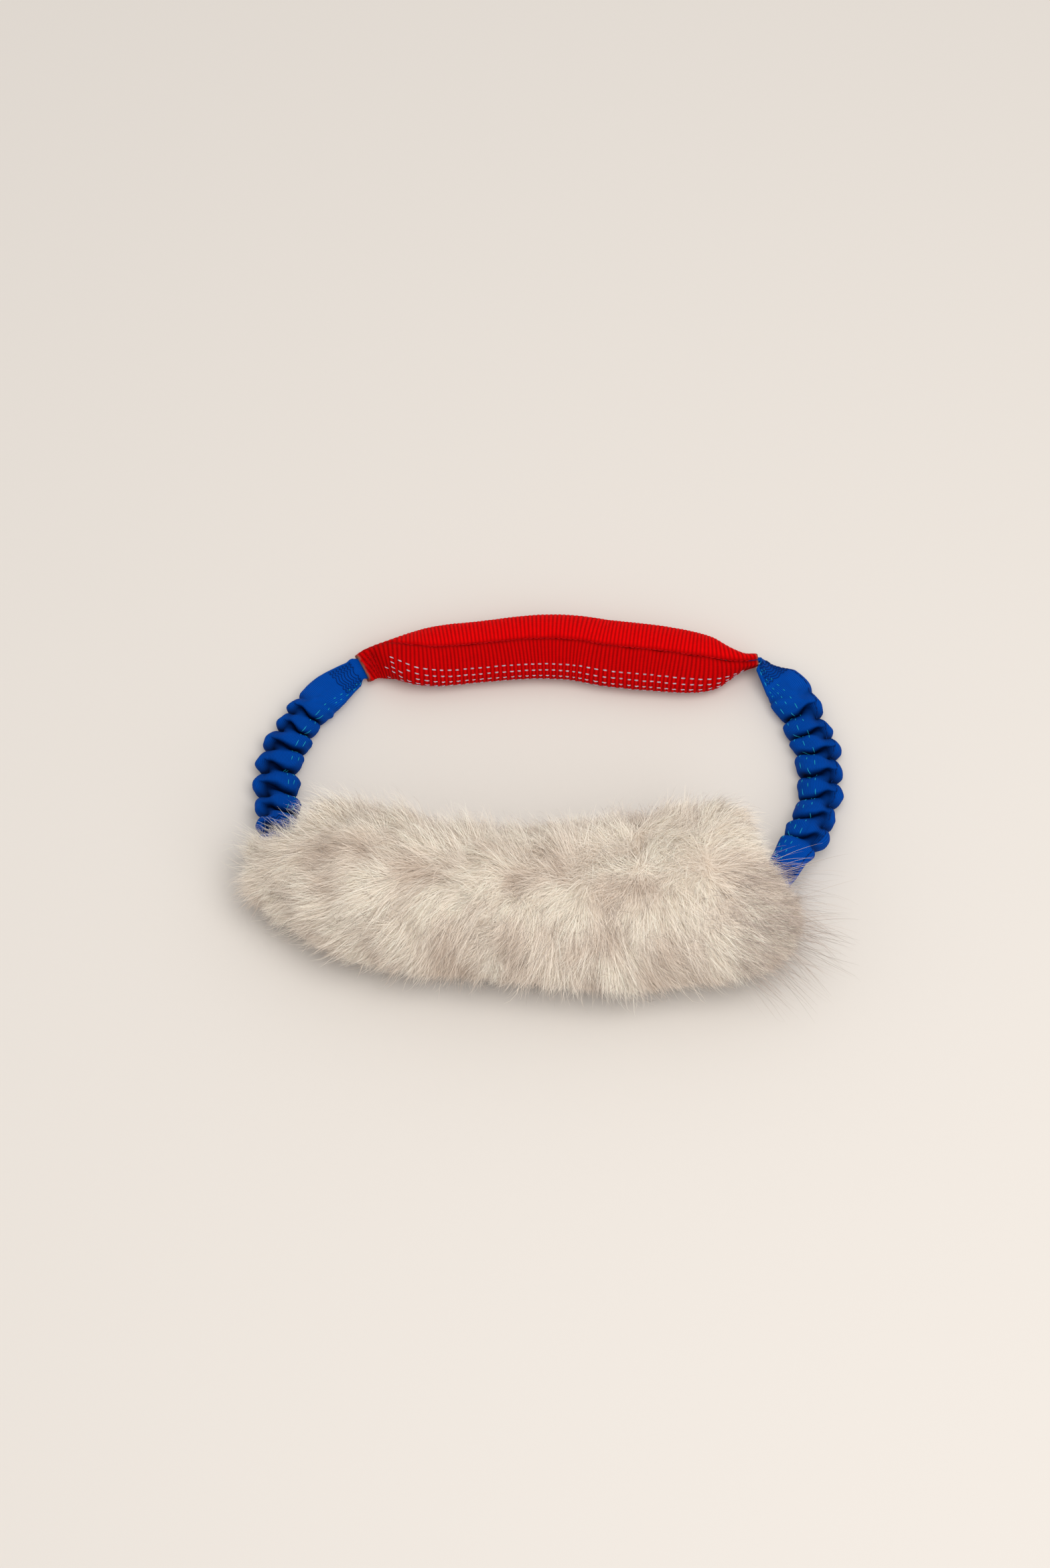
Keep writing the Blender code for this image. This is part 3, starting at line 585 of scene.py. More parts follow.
def bell(value, width):
    """1 in the middle and near 0 beyond the width."""
    return np.exp(-((value / width) ** 2))


def cornered(value, power):
    """A sine or cosine whose ellipse gets corners, or is drawn in where the power is above 1."""
    return np.sign(value) * np.abs(value) ** power


def ring_angles(count):
    return 2 * math.pi * (np.arange(count) + 0.5) / count


def zigzag(count):
    """Heights from -0.5 to 0.5 of this many points on an even zigzag."""
    return np.abs((np.arange(count) / ZIGZAG_POINTS_EACH) % 2 - 1) - 0.5


def follow(table, shares):
    """The table's columns at these shares, on smooth curves through its rows."""
    rows = np.array(table)
    places = rows[:, 0]
    shares = np.clip(np.asarray(shares, float), places[0], places[-1])
    rises = np.diff(rows[:, 1:], axis=0) / np.diff(places)[:, None]
    before, after = rises[:-1], rises[1:]
    middle = np.where(after * before > 0, (after + before) / 2, 0)
    slopes = np.vstack([rises[:1], middle, rises[-1:]])
    i = np.clip(np.searchsorted(places, shares, side="right") - 1, 0, len(places) - 2)
    width = places[i + 1] - places[i]
    t = ((shares - places[i]) / width)[..., None]
    ends = (2 * t**3 - 3 * t**2 + 1) * rows[i, 1:] + (3 * t**2 - 2 * t**3) * rows[i + 1, 1:]
    pulls = ((t**3 - 2 * t**2 + t) * slopes[i] + (t**3 - t**2) * slopes[i + 1]) * width[..., None]
    return np.moveaxis(ends + pulls, -1, 0)


def ripple(places, seed, waves=6):
    """A smooth unrepeating wave of about unit height over any number of coordinates, from a few sines."""
    rng = np.random.default_rng(seed)
    total = 0
    for _ in range(waves):
        turn = sum(rng.normal(0, 1) * place for place in places)
        total = total + np.sin(turn + rng.uniform(0, 2 * math.pi))
    return total / math.sqrt(waves)


def steps_around(points):
    """The step round each ring of a closed grid, at each of its points."""
    return (np.roll(points, -1, axis=1) - np.roll(points, 1, axis=1)) / 2


class Skin:
    """A grid of points over the outside of a piece, which can be read at any place between them."""

    def __init__(self, points, closed=False):
        self.points = points
        self.closed = closed
        around = steps_around(points) if closed else np.gradient(points, axis=1)
        self.normals = unit(np.cross(around, np.gradient(points, axis=0)) + 1e-12)

    def turn_out(self, centres, each=False):
        """Turns the normals away from the middles of the rows, each by itself or all alike."""
        facing = np.sum(self.normals * (self.points - centres[:, None]), -1, keepdims=True)
        self.normals = self.normals * np.sign(facing if each else facing.mean())

    def read(self, grid, rows, columns):
        """The grid's values at places counted in rows and columns."""
        last, count = grid.shape[0] - 1, grid.shape[1]
        rows = np.clip(rows, 0, last - 1e-6)
        i = rows.astype(int)
        if self.closed:
            columns = columns % count
            j = columns.astype(int) % count
            k = (j + 1) % count
        else:
            columns = np.clip(columns, 0, count - 1 - 1e-6)
            j = columns.astype(int)
            k = j + 1
        s, t = (rows - i)[..., None], (columns - np.floor(columns))[..., None]
        above = grid[i, j] * (1 - t) + grid[i, k] * t
        below = grid[i + 1, j] * (1 - t) + grid[i + 1, k] * t
        return above * (1 - s) + below * s

    def over(self, rows, columns, lift):
        """Points at this height over the skin, and the normals there."""
        normal = unit(self.read(self.normals, rows, columns))
        return self.read(self.points, rows, columns) + normal * lift, normal


def packed(values, kind=np.float32):
    """The values in one unbroken row, as the mesh takes them."""
    return np.ascontiguousarray(values, kind).ravel()


def new_mesh(name, points, quads, material, uvs=None, shades=None, closed=True):
    """An object from points and four-sided faces, with optional corner UVs and values at its points."""
    corners = points[quads]
    across = np.cross(corners[:, 1] - corners[:, 0], corners[:, 2] - corners[:, 0])
    if closed and np.sum(corners[:, 0] * across) < 0:
        quads = quads[:, ::-1]
        uvs = None if uvs is None else uvs[:, ::-1]
    data = bpy.data.meshes.new(name)
    data.vertices.add(len(points))
    data.vertices.foreach_set("co", packed(points))
    data.loops.add(quads.size)
    data.loops.foreach_set("vertex_index", packed(quads, np.int32))
    data.polygons.add(len(quads))
    data.polygons.foreach_set("loop_start", np.arange(0, quads.size, 4, dtype=np.int32))
    data.materials.append(material)
    if uvs is not None:
        data.uv_layers.new(name="UVMap").data.foreach_set("uv", packed(uvs))
    for label, values in (shades or {}).items():
        if values.ndim == 1:
            data.attributes.new(label, "FLOAT", "POINT").data.foreach_set("value", packed(values))
        else:
            filled = np.concatenate([values, np.ones((len(values), 1))], axis=1)
            data.attributes.new(label, "FLOAT_COLOR", "POINT").data.foreach_set("color", packed(filled))
    data.update(calc_edges=True)
    data.validate()
    data.shade_smooth()
    item = bpy.data.objects.new(name, data)
    bpy.context.scene.collection.objects.link(item)
    return item


def side_quads(rows, columns, closed=False):
    """Faces between neighbouring rings of points, and from the last ring to the first where closed."""
    i, k = np.meshgrid(np.arange(rows if closed else rows - 1), np.arange(columns), indexing="ij")
    j, n = (i + 1) % rows, (k + 1) % columns
    corners = [i * columns + k, i * columns + n, j * columns + n, j * columns + k]
    return np.stack(corners, -1).reshape(-1, 4)


def tube_quads(rows, columns):
    """Faces of a closed tube of rings, with both ends filled by strips across."""
    c = np.arange(columns // 2 - 1)
    cap = np.stack([c, columns - 1 - c, columns - 2 - c, c + 1], -1)
    other = (rows - 1) * columns + cap[:, ::-1]
    return np.concatenate([side_quads(rows, columns), cap, other])


def copies(quads, count, points):
    """The faces of this many like pieces in a row, each of so many points."""
    return (quads[None] + (np.arange(count) * points)[:, None, None]).reshape(-1, 4)


def tube_uvs(lengths, rounds, caps):
    """Corner UVs in metres along and round a tube, for the faces that tube_quads makes."""
    rows, columns = rounds.shape[0], rounds.shape[1] - 1
    i, k = np.meshgrid(np.arange(rows - 1), np.arange(columns), indexing="ij")
    corners = [(i, k), (i, k + 1), (i + 1, k + 1), (i + 1, k)]
    sides = np.stack([np.stack([rounds[a, b], lengths[a, b]], -1) for a, b in corners], -2)
    return np.concatenate([sides.reshape(-1, 4, 2), np.zeros((caps, 4, 2))])


def tube(name, rings, material, shades=None):
    """A closed tube through rings of points, with a UV map in metres."""
    rows, columns = rings.shape[:2]
    wrapped = np.concatenate([rings, rings[:, :1]], axis=1)
    steps_round = np.linalg.norm(np.diff(wrapped, axis=1), axis=-1)
    rounds = np.concatenate([np.zeros((rows, 1)), np.cumsum(steps_round, axis=1)], axis=1)
    rounds = rounds.mean(axis=0)[None].repeat(rows, axis=0)
    steps_along = np.linalg.norm(np.diff(wrapped, axis=0), axis=-1)
    lengths = np.concatenate([np.zeros((1, columns + 1)), np.cumsum(steps_along, axis=0)])
    quads = tube_quads(rows, columns)
    caps = len(quads) - (rows - 1) * columns
    flat = {label: values.reshape(rows * columns) for label, values in (shades or {}).items()}
    return new_mesh(name, rings.reshape(-1, 3), quads, material, tube_uvs(lengths, rounds, caps), flat)


def threads(name, paths, normals, size, material):
    """Short threads along paths of points, flattened along the normals where the size says so."""
    paths, normals = np.asarray(paths, float), np.asarray(normals, float)
    half_width, half_height = size
    along = unit(np.gradient(paths, axis=1))
    across = unit(np.cross(along, normals))
    upwards = np.cross(across, along)
    angles = ring_angles(THREAD_SIDES)
    count, steps = paths.shape[:2]
    reach = np.linspace(-THREAD_END_SHARE, THREAD_END_SHARE, steps)
    ease = np.sqrt(np.clip(1 - reach**2, 0, 1))[None, :, None, None]
    rings = paths[:, :, None] + ease * (
        across[:, :, None] * (np.cos(angles) * half_width)[:, None]
        + upwards[:, :, None] * (np.sin(angles) * half_height)[:, None]
    )
    quads = copies(tube_quads(steps, THREAD_SIDES), count, steps * THREAD_SIDES)
    return new_mesh(name, rings.reshape(-1, 3), quads, material)


def dress(item, body, slot, *nodes):
    """The piece rides its body and stands for the CAD nodes; the slot is not used."""
    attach(item, body)
    if nodes:
        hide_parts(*nodes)
    return item


def bend(item, bodies, start, end, slot, *nodes):
    """Bakes the piece's place into its points and hides the CAD nodes that it stands for; the bodies, start
    and end change nothing.
    """
    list(bodies)
    tuple(start)
    tuple(end)
    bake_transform(item)
    if nodes:
        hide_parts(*nodes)
    return item


class Finish:
    """A material with a Principled shader, and nodes added to it."""

    def __init__(self, name, colour, roughness, specular=0.3, sheen=0.0):
        self.material = bpy.data.materials.new(name)
        self.material.use_nodes = True
        self.material.diffuse_color = (*colour, 1.0)
        self.tree = self.material.node_tree
        self.shader = self.tree.nodes["Principled BSDF"]
        self.shader.inputs["Base Color"].default_value = (*colour, 1.0)
        self.shader.inputs["Roughness"].default_value = roughness
        self.shader.inputs["Specular IOR Level"].default_value = specular
        self.shader.inputs["Sheen Weight"].default_value = sheen
        self.shader.inputs["Sheen Roughness"].default_value = 0.5

    def add(self, kind, inputs, output=0, **settings):
        """A node with these settings and inputs. A socket as an input is linked."""
        node = self.tree.nodes.new(kind)
        for key, value in settings.items():
            setattr(node, key, value)
        for key, value in inputs.items():
            if isinstance(value, bpy.types.NodeSocket):
                self.tree.links.new(value, node.inputs[key])
            else:
                node.inputs[key].default_value = value
        return node.outputs[output]

    def blend(self, factor, first, second):
        """A mix of two colours, each a socket or three numbers."""
        first, second = ((*value, 1.0) if isinstance(value, tuple) else value for value in (first, second))
        return self.add("ShaderNodeMix", {0: factor, 6: first, 7: second}, 2, data_type="RGBA")

    def attribute(self, name, output="Fac"):
        return self.add("ShaderNodeAttribute", {}, output, attribute_name=name)

    def place(self):
        return self.add("ShaderNodeTexCoord", {}, "Object")

    def spread(self):
        return self.add("ShaderNodeUVMap", {}, uv_map="UVMap")

    def noise(self, scale, detail=2.0):
        inputs = {"Vector": self.place(), "Scale": scale, "Detail": detail}
        return self.add("ShaderNodeTexNoise", inputs, "Fac")

    def lines(self, pitch, distortion):
        """Fine parallel lines across the UV map."""
        scale = math.pi / (10 * pitch)
        inputs = {"Vector": self.spread(), "Scale": scale, "Distortion": distortion, "Detail": 1.0}
        return self.add("ShaderNodeTexWave", inputs, "Fac", bands_direction="X")

    def span(self, value, low, high):
        """The value as a share of the way from low to high."""
        return self.add("ShaderNodeMapRange", {0: value, 1: low, 2: high})

    def mottled(self, tone, grain):
        """The tone, with darker places where the grain is low."""
        spots = self.blend(grain, (0.8,) * 3, (1.0,) * 3)
        inputs = {0: 1.0, 6: tone, 7: spots}
        return self.add("ShaderNodeMix", inputs, 2, data_type="RGBA", blend_type="MULTIPLY")

    def paint(self, socket):
        self.tree.links.new(socket, self.shader.inputs["Base Color"])

    def bump(self, height, strength, distance):
        socket = self.add("ShaderNodeBump", {"Height": height, "Strength": strength, "Distance": distance})
        self.tree.links.new(socket, self.shader.inputs["Normal"])


def shaded(colour, share):
    return tuple(value * share for value in colour)


def found(build, name, *details):
    """The material of this name, made once."""
    return bpy.data.materials.get(name) or build(name, *details)


def thread_finish(name, colour):
    finish = Finish(name, colour, 0.7, 0.06)
    finish.paint(finish.blend(finish.noise(900.0), shaded(colour, 0.55), shaded(colour, 1.5)))
    return finish.material


def webbing_finish(name, colour, sealed):
    finish = Finish(name, colour, 0.7, 0.03)
    # Painted shade: the rib valleys are darkened to 0.42 of the colour
    tone = finish.blend(finish.attribute("rib"), shaded(colour, 0.42), colour)
    cloth = finish.mottled(tone, finish.noise(350.0))
    finish.paint(finish.blend(finish.attribute("sealed"), cloth, sealed))
    finish.bump(finish.lines(0.0007, 0.6), 0.55, 0.0002)
    return finish.material


def fabric_finish(name, colour, deep):
    """Woven cloth, with a painted highlight on the rims of its folds, painted shade in their bottoms, and
    painted sheen and shade along its weave lines.
    """
    finish = Finish(name, colour, 0.6, 0.025)
    fold = finish.attribute("fold")
    # Painted shade darkens the fold bottoms towards the deep blue; a painted highlight pales the rims above
    # them
    crease_painted_shade, rim = finish.span(fold, 0.1, 0.75), finish.span(fold, 0.03, -0.08)
    # Painted sheen and shade: the weave lines are paler on their ridges and darker between them
    weave = finish.lines(0.0006, 0.5)
    valleys = finish.blend(rim, shaded(colour, 0.7), shaded(colour, 1.1))
    weave_ridges_painted_sheen = finish.blend(rim, shaded(colour, 1.1), shaded(colour, 1.6))
    tone = finish.blend(crease_painted_shade, finish.blend(weave, valleys, weave_ridges_painted_sheen), shaded(deep, 0.3))
    finish.paint(finish.mottled(tone, finish.noise(160.0, 3.0)))
    finish.bump(weave, 0.6, 0.0002)
    return finish.material


def hair_finish(name, colour):
    finish = Finish(name, colour, 0.55, 0.25, 0.3)
    finish.paint(finish.attribute("hair", "Color"))
    return finish.material


def soft_finish(name, colour, scale, strength, dark=0.6):
    """Foam, batting, elastic or hide: one colour with small uneven darker places."""
    finish = Finish(name, colour, 0.85, 0.2, 0.1)
    grain = finish.noise(scale, 4.0)
    finish.paint(finish.blend(grain, shaded(colour, dark), colour))
    finish.bump(grain, strength, 0.0005)
    return finish.material


def soften(item, normals):
    """Gives the points of an object these normals for shading."""
    item.data.normals_split_custom_set_from_vertices(packed(normals).reshape(-1, 3))


# The handle


def handle_ends():
    """The middles of the handle's left and right cut ends."""
    left = joint_place("handle_roll")
    s = sizes()
    return left, left + np.array((s.handle_span, s.handle_skew, 0.0))


def handle_point(shares):
    """Points on the handle's middle line."""
    left, right = handle_ends()
    (bow,) = follow(HANDLE_AXIS_SHARES, shares)
    chord = right - left
    outward = unit(np.cross(UP, chord))
    fullness = follow(HANDLE_SECTION_SHARES, shares)[0]
    points = left + chord * np.asarray(shares)[..., None] + outward * (sizes().handle_bow * bow)[..., None]
    points[..., 2] = mix(left[2], sizes().handle_half_height - FLAT_DEPTH, fullness)
    return points


def handle_frame(shares):
    """Centres, seam directions, front directions and section sizes of the handle at shares of its span."""
    s = sizes()
    shares = np.asarray(shares, float)
    reach = 1 / AXIS_SAMPLES
    nearest = np.clip(shares, reach, 1 - reach)
    along = unit(handle_point(nearest + reach) - handle_point(nearest - reach))
    away = unit(np.cross(UP, along))
    upright = np.cross(along, away)
    taller, wider, rounder, roll_share = follow(HANDLE_SECTION_SHARES, shares)
    roll = (RIGHT_ANGLE * roll_share)[..., None]
    seamward = upright * np.cos(roll) + away * np.sin(roll)
    forward = upright * np.sin(roll) - away * np.cos(roll)
    half_seam = mix(s.stub_half_width, s.handle_half_height, taller)
    half_face = mix(stub_half_thickness(), s.handle_half_width, wider)
    power = mix(STUB_POWER, PAD_POWER, rounder)
    return handle_point(shares), seamward, forward, half_seam, half_face, power


def stub_half_thickness():
    """Half the thickness of a sewn end: half a tab, the gap over it and the webbing."""
    return sizes().tab_half_thickness + CLEARANCE + sizes().webbing


def strip_arc(half_seam, half_face, power, lift, edge, count):
    """Distances towards the face and the seam of points over half the handle's outline, evenly spaced."""
    room = np.maximum(half_face - sizes().webbing, edge * 1.01)
    limit = np.arccos((edge / room) ** (1 / power))
    angles = limit[:, None] * np.linspace(-1, 1, ARC_SAMPLES)
    face = (half_face[:, None] - lift) * np.cos(angles) ** power[:, None]
    seam = (half_seam[:, None] - lift) * np.sin(angles)
    steps = np.hypot(np.diff(face, axis=1, prepend=face[:, :1]), np.diff(seam, axis=1, prepend=seam[:, :1]))
    run = np.cumsum(steps, axis=1)
    wanted = np.linspace(0, 1, count)
    placed = np.empty((len(half_seam), count, 2))
    for row, places in enumerate(run / run[:, -1:]):
        placed[row, :, 0] = np.interp(wanted, places, face[row])
        placed[row, :, 1] = np.interp(wanted, places, seam[row])
    return placed, run[:, -1]


def strip_skin(side, lift, edge, rows, columns):
    """The handle's outline on one side, before its ribs, with the distance of each point from the edges."""
    centre, seamward, forward, *measures = handle_frame(rows)
    placed, span = strip_arc(*measures, lift, edge, columns)
    points = (
        centre[:, None]
        + forward[:, None] * (side * placed[..., :1])
        + seamward[:, None] * placed[..., 1:]
    )
    across = np.linspace(0, 1, columns)[None] * span[:, None]
    return Skin(points), np.minimum(across, span[:, None] - across), across / span[:, None]


def rib_phase(shares, across, side):
    """The number of ribs from the left cut end to each point. They wander a little and fan at both ends."""
    run = shares[:, None] * sizes().handle_span / sizes().rib_pitch
    wander = RIB_WANDER * ripple((run * 0.13, across * 5.0), RIB_SEED + side)
    fan = (across - 0.5) * RIB_FAN * (smooth(0.12, 0.0, shares) - smooth(0.9, 1.0, shares))[:, None]
    return run + wander + fan


def handle_surface(side):
    """The outer skin of one strip: ribs, puckers and edges turned in towards the seams."""
    s = sizes()
    rows = np.linspace(0, 1, int(s.handle_span / s.rib_pitch * RIB_SAMPLES) + 1)
    skin, inset, across = strip_skin(side, 0.0, EDGE_GAP, rows, STRIP_COLUMNS)
    skin.turn_out(handle_point(rows), each=True)
    phase = rib_phase(rows, across, side)
    rib = (0.5 + 0.5 * np.cos(2 * math.pi * phase)) ** RIB_CREST_POWER
    uneven = 1 + RIB_UNEVENNESS * ripple((phase * 0.9, across * 9.0), UNEVEN_RIB_SEED + side)
    flat = smooth(*EDGE_FADE, inset)
    relief = s.rib_relief * (0.25 + 0.75 * flat) * uneven
    tuck = EDGE_TUCK * bell(inset, EDGE_TUCK_WIDTH)
    gathered = ripple((phase * 0.9, across * 2.0), PUCKER_SEED + side)
    pucker = PUCKER_HEIGHT * np.exp(-inset / PUCKER_REACH) * gathered
    sag = SAG_HEIGHT * ripple((phase * 0.11, across * 3.0), SAG_SEED + side)
    end = np.minimum(rows, 1 - rows) * s.handle_span
    cut = bell(end, CUT_WIDTH)[:, None]
    rise = rib * relief * (1 - cut) - tuck + pucker + sag * smooth(0.0, SAG_SETBACK, end)[:, None]
    points = skin.points + skin.normals * rise[..., None]
    sealed = np.clip(cut * (0.8 + 0.4 * ripple((phase, across * 30.0), SEALED_SEED)), 0, 1)
    # The third value sets the painted shade: 1 on the rib crests, near 0 in the valleys, weaker near the
    # edges
    return rows, points, rib * (0.35 + 0.65 * flat), sealed


def handle_strip(name, side, node):
    """One webbing strip with its ribs, from its edge in the upper seam round the foam to the lower one."""
    rows, outer, rib, sealed = handle_surface(side)
    inner, _, _ = strip_skin(side, sizes().webbing, SEAM_GAP / 2, rows, STRIP_INNER_COLUMNS)
    blank = np.zeros(inner.points.shape[:2])
    rings = np.concatenate([outer, inner.points[:, ::-1]], axis=1)[:, ::side]
    rings[..., 2] = np.maximum(rings[..., 2], 0.0)
    # The rib values carry the painted shade of the rib valleys, the sealed values the melted cut ends
    shades = {
        "rib": np.concatenate([rib, blank + 0.5], axis=1)[:, ::side],
        "sealed": np.concatenate([sealed, blank + sealed[:, :1]], axis=1)[:, ::side],
    }
    # Painted shade: the front strip gets a darker copy of the red than the back strip
    tone = shaded(rgb("red"), FRONT_STRIP_PAINTED_SHADE if side > 0 else 1.0)
    item = tube(name, rings, found(webbing_finish, f"{name}_cloth", tone, rgb("sealed")), shades)
    return dress(item, "handle", "red_webbing", node)


def handle_tracers():
    """Dashes of pale tracer yarn on the front strip, each of three filaments over one rib."""
    s = sizes()
    rows, points, _, _ = handle_surface(1)
    skin = Skin(points)
    skin.turn_out(handle_point(rows), each=True)
    rng = np.random.default_rng(TRACER_SEED)
    ribs = int(s.handle_span / s.rib_pitch)
    steps = np.linspace(-0.5, 0.5, DASH_POINTS)
    lift = (TRACER_LIFT + TRACER_ARCH * (1 - (steps * 2) ** 2))[:, None]
    dashes = {"edges": [], "middles": []}
    for number, fraction in enumerate(TRACER_ROWS):
        for rib in range(TRACER_FIRST_RIB, ribs - TRACER_END_RIBS, 2):
            length_share = rng.uniform(0.85, 1.1)
            if rng.uniform() > 0.3 + rib / TRACER_FULL_RIB:
                continue
            row = (rib + TRACER_DRIFT * number + steps * length_share + rng.normal(0, 0.06)) * RIB_SAMPLES
            column = (1 - fraction) * (STRIP_COLUMNS - 1) + rng.normal(0, 0.08)
            for offset in (-FILAMENT_SPACING, 0.0, FILAMENT_SPACING):
                columns = np.full(DASH_POINTS, column + offset)
                dashes["edges" if offset else "middles"].append(skin.over(row, columns, lift))
    white = rgb("tracer")
    kinds = (
        ("edges", EDGE_FILAMENT, "tracer_yarn", white),
        ("middles", MIDDLE_FILAMENT, "tracer_yarn_core", shaded(white, TRACER_CORE_TONE)),
    )
    for kind, size, *yarn in kinds:
        item = threads(f"handle_tracer_{kind}", *zip(*dashes[kind]), size, found(thread_finish, *yarn))
        dress(item, "handle", "red_webbing")


def handle_foam():
    s = sizes()
    setback = FOAM_SETBACK / s.handle_span
    rows = np.linspace(setback, 1 - setback, FOAM_ROWS)
    lift = s.webbing + CLEARANCE
    front, back = (strip_skin(side, lift, SEAM_GAP / 2, rows, FOAM_COLUMNS)[0].points for side in (1, -1))
    rings = np.concatenate([front, back[:, ::-1]], axis=1)
    rings[..., 2] = np.maximum(rings[..., 2], lift)
    item = tube("foam_core", rings, found(soft_finish, "grey_foam_cells", rgb("foam"), 900.0, 0.8))
    dress(item, "handle", "grey_foam", "handle_foam_core")


def red_thread():
    return found(thread_finish, "dark_red_stitches", rgb("seam_red"))


def seam_stitches(name, side, node):
    """Lockstitches in the groove between the strips, each a little askew."""
    span = sizes().handle_span
    rng = np.random.default_rng(SEAM_SEED + side)
    starts = np.arange(SEAM_START, span - SEAM_END, SEAM_PITCH)
    steps = np.linspace(0, 1, 8)
    shares = (starts[:, None] + SEAM_PITCH * (0.02 + 0.93 * steps)) / span
    centre, seamward, forward, half_seam, _, _ = handle_frame(shares)
    skew = rng.normal(0, SEAM_SKEW, (len(starts), 1)) * (steps * 2 - 1)
    dive = SEAM_DIVE * (2 * steps - 1) ** 4
    height = side * (half_seam - SEAM_DEPTH - dive)
    paths = centre + seamward * height[..., None] + forward * skew[..., None]
    paths[..., 2] = np.maximum(paths[..., 2], SEAM_LOWEST)
    item = threads(name, paths, seamward * side, SEAM_THREAD, red_thread())
    dress(item, "handle", "dark_red_thread", node)


def stub_stitches(name, from_left, node):
    """Rows of zigzag across a sewn end of the handle, on its front."""
    rows = STUB_ROW_START + STUB_ROW_PITCH * np.arange(STUB_ROWS)
    inset = (rows[:, None] + STUB_ZIGZAG * zigzag(STUB_POINTS)) / sizes().handle_span
    centre, seamward, forward, half_seam, half_face, _ = handle_frame(inset if from_left else 1 - inset)
    across = (half_seam - STUB_MARGIN) * np.linspace(-1, 1, STUB_POINTS)
    paths = centre + forward * (half_face + STUB_LIFT)[..., None] + seamward * across[..., None]
    item = threads(name, paths, forward, STUB_THREAD, red_thread())
    dress(item, "handle", "dark_red_thread", node)


# The sleeves


